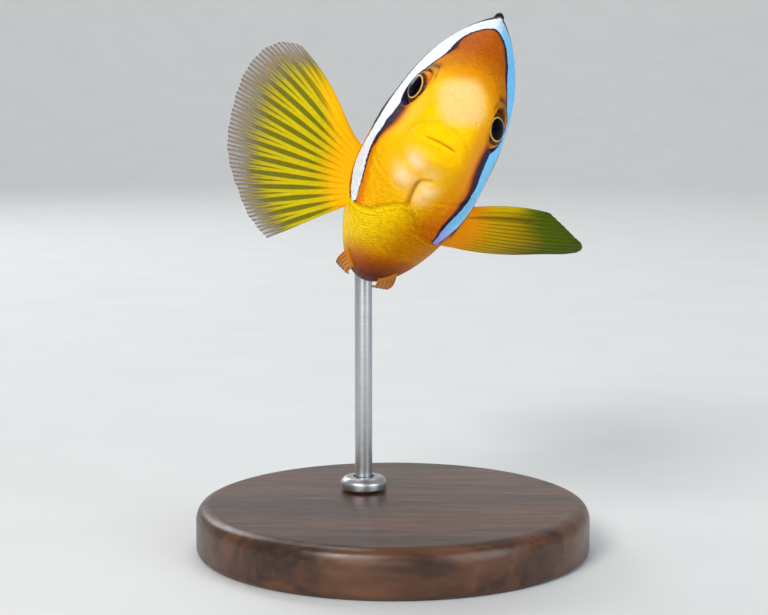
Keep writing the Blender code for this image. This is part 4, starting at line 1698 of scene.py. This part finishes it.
@dataclass
class Fin:
    """A fin: branching rays fanned from its root, with a thin web between them."""

    name: str
    base: Knots
    tips: Knots
    rays: int
    finish: FinFinish
    slot: str = "yellow_fin"
    bow: Place = (0.0, 0.0, 0.0)
    bow_fade: float = 0.0
    rows: int = 64
    per_ray: int = 16
    root_half: float = 0.42
    ray_half: float = 0.2
    web_half: float = 0.07
    branches: bool = True
    fringe: float = 0.012
    ripple: float = 0.16
    lead: float = 0.0
    lead_root: float = 0.0
    lead_bow: Place = (0.0, 0.0, 0.0)
    uneven: float = 0.0
    folds: Knots = ()

    def creased(self, u: Array, across: Array) -> Array:
        """Find how deep in a fold places of the fin lie.

        Args:
            u: shares 0..1 of the way out along the fin.
            across: places across the fin, counted in rays.

        Returns:
            The depths, 0..1.
        """
        depth = 0 * u
        for ray, start, end in self.folds:
            reach = smooth(start, start + 0.15, u) * smooth(end, end - 0.15, u)
            depth = np.maximum(depth, hump(across - ray, 0.36) * reach)
        return depth

    def branch_mask(self, u: Array, across: Array) -> Array:
        """Return 1 on the rays and their branches, 0 on the web.

        Args:
            u: shares 0..1 of the way out along the fin.
            across: places across the fin, counted in rays.

        Returns:
            The mask.
        """
        w = np.abs(across - np.round(across))
        if not self.branches:
            half = 0.5 - 0.28 * smooth(0.0, 0.3, u) - 0.1 * smooth(0.4, 1.0, u)
            return smooth(half + 0.1, half - 0.06, w)
        first = np.interp(u, (0.3, 0.45, 0.7, 1.0), (0.0, 0.1, 0.19, 0.25))
        second = np.interp(u, (0.52, 0.7, 0.9, 1.0), (0.0, 0.06, 0.105, 0.125))
        half = np.interp(u, (0.0, 0.06, 0.2, 0.3, 0.45, 0.55, 0.7, 0.9, 1.0),
                         (0.6, 0.54, 0.41, 0.34, 0.19, 0.14, 0.078, 0.05, 0.04))
        soft = np.interp(u, (0.0, 0.4, 0.7, 1.0), (0.08, 0.05, 0.035, 0.03))
        off = np.abs(np.abs(w - first) - second)
        return smooth(half + soft, half - soft, off)

    def place(self, u: Array, v: Array) -> Array:
        """Find points of the fin's middle surface.

        Args:
            u: shares 0..1 of the way out along the fin.
            v: shares 0..1 of the way across it.

        Returns:
            The points, with one more axis than u.
        """
        foot, edge = route(self.base).at(v), route(self.tips).at(v)
        sag = np.array(self.bow) * (4 * u * (1 - u) * (1 - self.bow_fade * v))[..., None]
        swing = Spline.through((0.0, 0.14, 0.42, 0.76, 1.0), (0.0, -1.0, 0.0, 0.9, 0.0)).at(u)[..., 0]
        bent = np.array(self.lead_bow) * (swing * (1 - v) ** 3)[..., None]
        return foot + (edge - foot) * u[..., None] + sag + bent

    def leading(self, across: Array) -> Array:
        """Return how much thicker the fin is towards its leading edge."""
        return smooth(1.3, 0.0, across) * self.lead

    def thickness(self, u: Array, across: Array, mask: Array) -> Array:
        """Find how far the fin's two faces lie from its middle surface.

        Args:
            u: shares 0..1 of the way out along the fin.
            across: places across the fin, counted in rays.
            mask: 1 on the rays, 0 on the web.

        Returns:
            Half the thickness.
        """
        half = self.web_half + (self.root_half - self.web_half) * smooth(0.22, 0.0, u)
        half = half + self.ray_half * mask * (1 - 0.62 * u)
        half = half + self.leading(across) * (1 - 0.5 * u)
        half = half * np.clip(1.0 - smooth(0.965, 1.0, u) * 0.75, 0.2, 1)
        return half * (0.25 + 0.75 * smooth(-0.01, 0.3, np.minimum(across, self.rays - 1 - across)))

    def faces(self, columns: int) -> list[Sequence[int]]:
        """Join the fin's two faces and its rim.

        Args:
            columns: how many lines of points run out along the fin.

        Returns:
            The four-sided faces.
        """
        stride = self.rows + 1
        count = columns * stride
        j, i = np.meshgrid(np.arange(columns - 1), np.arange(self.rows), indexing="ij")
        a = (j * stride + i).ravel()
        upper = np.stack([a, a + 1, a + stride + 1, a + stride], axis=-1)
        rim = list(range(stride)) + [k * stride + self.rows for k in range(1, columns)]
        rim += [count - stride + k for k in range(self.rows - 1, -1, -1)]
        rim += [k * stride for k in range(columns - 2, 0, -1)]
        sides = [(b, c, c + count, b + count) for c, b in zip(rim, rim[1:] + rim[:1])]
        return upper.tolist() + (upper[:, ::-1] + count).tolist() + sides

    def build(self, pose: Pose) -> Piece:
        """Make the fin and dress it.

        Args:
            pose: how the fish hangs on its stand.

        Returns:
            The fin's object.
        """
        rng = np.random.default_rng(SEED + len(self.name))
        columns = (self.rays - 1) * self.per_ray + 1
        v = np.linspace(0, 1, columns)
        u = np.linspace(0, 1, self.rows + 1)
        vv, uu = np.meshgrid(v, u, indexing="ij")
        across = vv * (self.rays - 1)
        mask = self.branch_mask(uu, across)
        short = np.interp(v * (self.rays - 1), np.arange(self.rays), rng.uniform(0.0, 0.008, self.rays))
        tip_mask = self.branch_mask(np.full(columns, 0.97), v * (self.rays - 1))
        reach = 1 - short - self.fringe * (1 - tip_mask)
        out_to = uu * (1 + (reach[:, None] - 1) * uu ** 3)
        middle = self.place(out_to, vv)
        du = self.place(np.minimum(out_to + 0.01, 1), vv) - self.place(np.maximum(out_to - 0.01, 0), vv)
        dv = self.place(out_to, np.minimum(vv + 0.004, 1)) - self.place(out_to, np.maximum(vv - 0.004, 0))
        out = unit(np.cross(du, dv))
        wave = np.sin(across * 2 * np.pi) * smooth(0.3, 1.0, uu) * self.ripple
        folded = self.creased(uu, across)
        middle = middle + out * (wave - 0.22 * folded)[..., None]
        half = out * self.thickness(uu, across, mask)[..., None]
        points = np.vstack([(middle + half).reshape(-1, 3), (middle - half).reshape(-1, 3)])
        made = make_mesh(self.name.replace("_fin", ""), pose.place(points), self.faces(columns))
        reach = uu - self.lead_root * hump(across, 1.9)
        uneven = np.interp(across, np.arange(self.rays), rng.normal(0.0, self.uneven, self.rays))
        edge = self.leading(across) / max(self.lead, 1e-6) * smooth(1.0, 0.55, uu)
        values = {
            "along": uu + uneven * uu,
            "ray": np.maximum(mask, edge),
            "rooted": smooth(1.5 * self.finish.root_reach, 0.5 * self.finish.root_reach, reach),
            "lead": smooth(2.1, 0.7, across) * smooth(0.02, 0.12, uu) * smooth(0.85, 0.5, uu),
            "fold": folded,
        }
        for name, value in values.items():
            store(made, name, np.concatenate([value.ravel()] * 2))
        self.finish.dress(made)
        settle(made, self.slot, self.name)
        return made


def ridge_fin(body: BodyShape, name: str, ridge: Ridge, start: float, end: float, rays: int, heights: Knots,
              lean: float, finish: FinFinish, slot: str, sink: float = 1.2, **extra: object) -> Fin:
    """Return a fin that stands along the back or the belly.

    Args:
        body: the body's form.
        name: the fin's name.
        ridge: the line of the body that it grows from.
        start: where it begins behind the snout.
        end: where it ends.
        rays: how many rays it has.
        heights: its height over the line at places along it.
        lean: how far its tips lie back for each unit of height.
        finish: its finish.
        slot: the slot that its finish fills.
        sink: how deep its root goes into the body.
        extra: other fields of the fin.

    Returns:
        The fin.
    """
    s = np.linspace(start, end, 9)
    tall = Spline.through([p[0] for p in heights], [p[1] for p in heights]).at(s)[:, 0]
    line = (body.back_at if ridge is Ridge.BACK else body.belly_at)(s)
    up = ridge.value
    base = np.stack([0 * s, s, line - up * sink], axis=-1)
    tips = np.stack([0 * s, s + lean * tall, line + up * tall], axis=-1)
    return Fin(name, base.tolist(), tips.tolist(), rays, finish, slot, **extra)


@dataclass
class FinSet:
    """All the fins of the fish."""

    body: BodyShape
    spread: FinFinish = FinFinish(
        root=paint(246, 180, 2), ray=paint(196, 176, 2), ray_tip=paint(160, 148, 18), web=paint(112, 110, 6),
        web_tip=paint(112, 104, 44), margin=paint(128, 108, 106), lead=paint(244, 172, 2), root_reach=0.25,
        tip_start=0.5, web_clear=0.9, margin_clear=0.2, margin_start=0.7, margin_blend=0.3, lead_share=0.5,
        lead_hold=0.9, ray_shade_share=0.35)
    # the folded left fin: its light yellow leading edge is a painted highlight along its upper fold, and its
    # folds carry painted shade
    folded: FinFinish = FinFinish(
        root=paint(246, 150, 3), ray=paint(202, 166, 2), ray_tip=paint(98, 116, 6), web=paint(174, 128, 2),
        web_tip=paint(66, 82, 6), margin=paint(60, 58, 30), lead=paint(232, 196, 10), root_reach=0.26,
        tip_start=0.36, web_clear=0.97, margin_clear=0.8, margin_start=0.92, root_lines=0.3, lead_share=0.65,
        ray_shade_share=0.12)
    yellow: FinFinish = FinFinish(
        root=paint(250, 172, 4), ray=paint(250, 190, 10), ray_tip=paint(246, 200, 40), web=paint(226, 164, 8),
        web_tip=paint(232, 190, 60), margin=paint(246, 222, 150), web_clear=0.92, margin_clear=0.6)
    belly: FinFinish = FinFinish(
        root=paint(214, 132, 3), ray=paint(222, 136, 3), ray_tip=paint(170, 88, 3), web=paint(196, 112, 3),
        web_tip=paint(140, 66, 3), margin=paint(90, 34, 6), web_clear=0.98, margin_clear=0.9)
    dark: FinFinish = FinFinish(
        root=paint(14, 13, 30), lead=paint(14, 13, 30), ray=paint(26, 20, 24), ray_tip=paint(40, 30, 30),
        web=paint(14, 11, 16), web_tip=paint(30, 22, 24), margin=paint(52, 44, 50), web_clear=0.97,
        margin_clear=0.85, margin_start=0.93)

    def fins(self) -> list[Fin]:
        """List every fin, with its own sizes and finish.

        Returns:
            The fins.
        """
        dorsal = ((25.5, 0.6), (30, 2.0), (37, 4.2), (46, 6.0), (52, 7.2), (58, 9.6), (63, 9.0), (67, 6.0))
        anal = ((52, 1.6), (56, 3.4), (60, 5.4), (64, 6.2), (67, 4.6))
        made = [
            Fin("pectoral_fin_right",
                ((-8.2, 25.6, -2.9), (-8.2, 26.0, -5.2), (-7.8, 26.3, -7.8), (-6.8, 26.4, -10.6)),
                ((-25.9, 27.0, 7.6), (-28.4, 27.5, 7.1), (-31.0, 28.1, 4.8), (-32.1, 28.8, 1.4),
                 (-32.0, 29.4, -3.0), (-31.0, 29.8, -7.8), (-29.2, 30.1, -11.9), (-26.9, 30.2, -15.1),
                 (-23.9, 30.2, -18.0), (-20.5, 29.9, -20.6), (-16.6, 29.2, -22.2)),
                15, self.spread, bow=(0, -1.2, 0), lead=0.16, per_ray=24, fringe=0.005, uneven=0.03,
                lead_root=0.34, lead_bow=(0.24, 0, 0.44)),
            Fin("pectoral_fin_left",
                ((8.4, 24.8, -4.0), (8.4, 25.8, -6.0), (7.9, 26.8, -8.2), (6.9, 27.6, -10.4)),
                ((21.7, 26.5, 2.4), (24.6, 29.0, 2.1), (27.7, 32.0, 1.7), (30.0, 35.0, 1.4),
                 (30.2, 38.5, 0.6), (26.6, 41.5, -1.0)),
                15, self.folded, bow=(0, -0.6, 0.8), bow_fade=2.5, lead=0.16, per_ray=20, fringe=0.003,
                ripple=0.06, ray_half=0.12, uneven=0.03, folds=((2.7, 0.05, 0.8), (11.3, 0.5, 1.05))),
            Fin("caudal_fin",
                ((0, 79.6, 6.6), (0, 79.6, 3.3), (0, 79.6, 0.2), (0, 79.6, -3.0), (0, 79.6, -6.2)),
                ((0, 99.5, 14.6), (0, 98.4, 7.8), (0, 97.2, 0.3), (0, 98.2, -7.0), (0, 99.0, -13.4)),
                15, self.yellow, lead=0.1),
            ridge_fin(self.body, "dorsal_fin", Ridge.BACK, 25.5, 67.0, 22, dorsal, 0.75, self.dark,
                      "black_fin", branches=False, rows=32, per_ray=12, fringe=0.07, ripple=0.08, lead=1.2),
            ridge_fin(self.body, "anal_fin", Ridge.BELLY, 52.0, 67.0, 10, anal, 0.8, self.yellow,
                      "yellow_fin", rows=36, ripple=0.08),
        ]
        for side in Side:
            mirror = np.array([side.value, 1, 1])
            base = np.array(((4.2, 27.0, -17.0), (3.2, 28.6, -18.2), (2.0, 30.0, -19.2))) * mirror
            tips = np.array(((4.9, 40.5, -19.6), (3.7, 42.4, -19.9), (2.0, 41.0, -20.4))) * mirror
            made.append(Fin("pelvic_fin_" + side.name.lower(), base.tolist(), tips.tolist(), 6, self.belly,
                            bow=(0.5 * side.value, 0, -0.5), per_ray=14, rows=48, ripple=0.06))
        return made

    def build(self, pose: Pose) -> list[Piece]:
        """Make every fin."""
        return [fin.build(pose) for fin in self.fins()]


@dataclass(frozen=True)
class WoodFinish:
    """Dark turned wood under a satin varnish."""

    light: Colour = paint(96, 58, 34)
    dark: Colour = paint(44, 24, 14)

    def dress(self, item: Piece) -> None:
        """Give a turned piece its material.

        Args:
            item: the piece.
        """
        made, wires, shader = new_material(item.name)
        laid = wires.add("ShaderNodeMapping", {"Vector": wires.here(), "Scale": (9.0, 95.0, 60.0)}).outputs[0]
        grain = wires.noise(2.2, 5.0, laid, 0.6)
        fine = wires.noise(14.0, 3.0, laid)
        share = wires.plus(wires.times(wires.span(grain, 0.35, 0.66), 0.75),
                          wires.times(wires.span(fine, 0.4, 0.7), 0.25))
        wires.join(wires.mix(share, self.dark, self.light), shader, "Base Color")
        wires.join(wires.span(fine, 0.2, 0.8, 0.26, 0.42), shader, "Roughness")
        wires.bump(shader, fine, 0.12, 0.0001)
        wear(item, made)


@dataclass(frozen=True)
class SteelFinish:
    """Brushed steel, its fine lines running round the piece."""

    light: Colour = paint(196, 197, 200)
    dark: Colour = paint(180, 181, 185)
    brushing: Place = (200.0, 200.0, 16000.0)

    def dress(self, item: Piece) -> None:
        """Give a turned piece its material.

        Args:
            item: the piece.
        """
        made, wires, shader = new_material(item.name)
        laid = wires.add("ShaderNodeMapping", {"Vector": wires.here(), "Scale": self.brushing}).outputs[0]
        lines = wires.noise(1.0, 4.0, laid)
        share = wires.span(lines, 0.3, 0.7)
        wires.join(wires.mix(share, self.dark, self.light), shader, "Base Color")
        wires.join(wires.span(lines, 0.3, 0.7, 0.3, 0.4), shader, "Roughness")
        wires.bump(shader, lines, 0.04, 0.00002)
        shader.inputs["Metallic"].default_value = 1.0
        wear(item, made)


@dataclass
class Stand:
    """The display stand: a turned base, a rod into the belly and a small collar at its foot."""

    pose: Pose
    base_radius: float = 33.0
    base_height: float = 8.0
    rod_radius: float = 1.5
    rod_in_fish: float = 9.0
    rod_in_base: float = 5.0
    collar_radius: float = 4.0
    collar_height: float = 2.2
    gap: float = 0.3
    segments: int = 160

    def turned(self, name: str, outline: Array, middle: tuple[float, float] = (0.0, 0.0)) -> Piece:
        """Return a closed piece turned about an upright axis.

        Args:
            name: the piece's name.
            outline: (radius, height) points up the outside, closed on itself or on the axis.
            middle: where the axis stands.

        Returns:
            The piece.
        """
        points, rings = [], []
        for radius, height in outline:
            count = self.segments if radius > 1e-6 else 1
            turn = 2 * np.pi * np.arange(count) / count
            rings.append(range(len(points), len(points) + count))
            for a in turn:
                x, y = middle[0] + radius * math.cos(a), middle[1] + radius * math.sin(a)
                points.append((x * MM, y * MM, height * MM))
        faces = []
        pairs = list(zip(rings, rings[1:] + rings[:1]))
        for low, high in pairs:
            if len(low) == 1 and len(high) == 1:
                continue
            for k in range(self.segments):
                after = (k + 1) % self.segments
                if len(low) == 1:
                    faces.append((low[0], high[after], high[k]))
                elif len(high) == 1:
                    faces.append((low[k], low[after], high[0]))
                else:
                    faces.append((low[k], low[after], high[after], high[k]))
        made = make_mesh(name, np.array(points), faces)
        made.data.set_sharp_from_angle(angle=math.radians(32))
        return made

    def eased(self, outline: Knots, radius: float) -> Array:
        """Round an outline's corners.

        Args:
            outline: (radius, height) points.
            radius: how far back from a corner its rounding begins.

        Returns:
            The outline's points, with each corner but the first and last rounded.
        """
        points = [np.array(p, float) for p in outline]
        made = [points[0]]
        for before, corner, after in zip(points, points[1:], points[2:]):
            back, on = before - corner, after - corner
            r = min(radius, 0.45 * np.linalg.norm(back), 0.45 * np.linalg.norm(on))
            start, end = corner + back / np.linalg.norm(back) * r, corner + on / np.linalg.norm(on) * r
            for t in np.linspace(0, 1, 6):
                made.append((1 - t) ** 2 * start + 2 * t * (1 - t) * corner + t ** 2 * end)
        return np.array(made + [points[-1]])

    def build(self) -> list[Piece]:
        """Make and dress the base, the collar and the rod.

        Returns:
            The three pieces.
        """
        wood, steel = WoodFinish(), SteelFinish()
        r, h = self.base_radius, self.base_height
        outline = ((0, 0), (r - 0.6, 0), (r, 0.6), (r, h - 2.0), (r - 0.6, h - 0.6), (r - 2.0, h), (0, h))
        base = self.turned("base", self.eased(outline, 0.7))
        hole, low, top = self.rod_radius + self.gap, h + self.gap, h + self.gap + self.collar_height
        c = self.collar_radius
        ring = ((hole, low), (c, low), (c, top - 0.8), (c - 0.8, top), (hole, top))
        collar = self.turned("collar", self.eased(ring, 0.35), self.pose.rod_place)
        foot, head = h - self.rod_in_base, self.pose.rod_height + self.rod_in_fish
        line = ((0, foot), (self.rod_radius, foot), (self.rod_radius, head), (0, head))
        rod = self.turned("rod", self.eased(line, 0.25), self.pose.rod_place)
        wood.dress(base)
        settle(base, "dark_wood", "stand_base")
        for piece, node in ((collar, "stand_collar"), (rod, "stand_rod")):
            steel.dress(piece)
            settle(piece, "steel", node)
        return [base, collar, rod]


@dataclass(frozen=True)
class Lamp:
    """A soft round light: where it hangs, its width, its power in watts, its colour and where it points."""

    name: str
    place: Place
    size: float
    power: float
    colour: Place = (1.0, 1.0, 1.0)
    aim: Place = (0.0, 0.0, 0.05)

    def hang(self) -> None:
        """Hang the light, out of the camera's sight."""
        data = bpy.data.lights.new(self.name, "AREA")
        data.shape, data.size, data.energy, data.color = "DISK", self.size, self.power, self.colour
        lamp = bpy.data.objects.new(self.name, data)
        lamp.location = self.place
        looking = Vector(self.aim) - Vector(self.place)
        lamp.rotation_euler = looking.to_track_quat("-Z", "Y").to_euler()
        lamp.visible_camera = False
        bpy.context.scene.collection.objects.link(lamp)


@dataclass
class Studio:
    """A plain pale floor that sweeps up all round, soft lights and the camera, in metres."""

    floor_flat: float = 1.1
    floor_turn: float = 0.7
    wall: float = 1.6
    floor_drop: float = 0.00005
    rings: int = 24
    spokes: int = 96
    tone: Colour = paint(212, 213, 212)
    air: float = 0.42
    camera_place: Place = (-0.001487, -0.295395, 0.076991)
    camera_pitch: float = 83.0
    lens: float = 83.95
    lamps: Sequence[Lamp] = (
        Lamp("key", (-0.42, -0.72, 0.62), 0.42, 6.7, (1.0, 0.985, 0.96)),
        Lamp("fill", (0.62, -0.5, 0.3), 0.6, 3.0, (0.78, 0.9, 1.0)),
        Lamp("low", (-0.2, -0.8, 0.06), 0.5, 1.5, (1.0, 0.97, 0.92)),
        Lamp("top", (0.05, 0.25, 0.85), 0.6, 1.2),
        Lamp("back", (-0.45, 0.65, 0.5), 0.4, 1.8, (0.95, 0.98, 1.0)),
        Lamp("wash", (0.0, 0.75, 1.2), 0.8, 6.0, aim=(0.0, 1.5, 0.1)),
    )

    def floor(self) -> Piece:
        """Make the floor, dressed.

        Returns:
            The floor.
        """
        spokes = self.spokes
        turn = np.linspace(0, math.pi / 2, self.rings)
        edge = self.floor_flat + self.floor_turn
        radius = np.r_[0.25, 0.6, self.floor_flat + self.floor_turn * np.sin(turn), edge]
        height = np.r_[0, 0, self.floor_turn * (1 - np.cos(turn)), self.wall]
        a = 2 * np.pi * np.arange(spokes) / spokes
        rings = np.stack([radius[:, None] * np.cos(a), radius[:, None] * np.sin(a),
                          np.repeat(height[:, None], spokes, axis=1)], axis=-1)
        points = np.vstack([rings.reshape(-1, 3), [[0, 0, 0]]])
        faces = [(len(points) - 1, k, (k + 1) % spokes) for k in range(spokes)]
        faces += band(len(radius), spokes)
        made = make_mesh("floor", points - np.array([0, 0, self.floor_drop]), faces)
        finish, wires, shader = new_material("floor")
        paper = wires.span(wires.noise(35.0, 4.0), 0.3, 0.7)
        darker = tuple(c * 0.97 for c in self.tone[:3]) + (1.0,)
        wires.join(wires.mix(paper, self.tone, darker), shader, "Base Color")
        shader.inputs["Roughness"].default_value = 0.75
        wear(made, finish)
        return made

    def build(self) -> None:
        """Lay the floor, hang the lights and set up the camera."""
        self.floor()
        for lamp in self.lamps:
            lamp.hang()
        world = bpy.data.worlds.new("studio")
        world.use_nodes = True
        sky = world.node_tree.nodes["Background"].inputs
        sky["Color"].default_value = (0.9, 0.93, 1.0, 1.0)
        sky["Strength"].default_value = self.air
        scene = bpy.context.scene
        scene.world = world
        scene.view_settings.view_transform = "Standard"
        data = bpy.data.cameras.new("camera")
        data.lens, data.sensor_width = self.lens, 36.0
        data.clip_start, data.clip_end = 0.01, 20.0
        camera = bpy.data.objects.new("camera", data)
        camera.location = self.camera_place
        camera.rotation_euler = (math.radians(self.camera_pitch), 0, 0)
        scene.collection.objects.link(camera)
        scene.camera = camera


def main() -> None:
    """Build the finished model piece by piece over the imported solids."""
    logging.basicConfig(level=logging.INFO, format="%(name)s: %(message)s")
    pose = Pose()
    body = BodyShape()
    skin = FishSkin(body)
    marks = MarkingsAndPaintedLight(skin)
    finish = SkinFinish()
    made = [skin.build(pose, marks, finish)]
    made += ScaleCoat(skin).build(pose, marks, finish)
    made += [Eye(seat).build(pose) for seat in skin.eyes]
    made += FinSet(body).build(pose)
    made += Stand(pose).build()
    Studio().build()
    for piece in made:
        log.info("%s: %d faces", piece.name, len(piece.data.polygons))


if __name__ == "__main__":
    main()
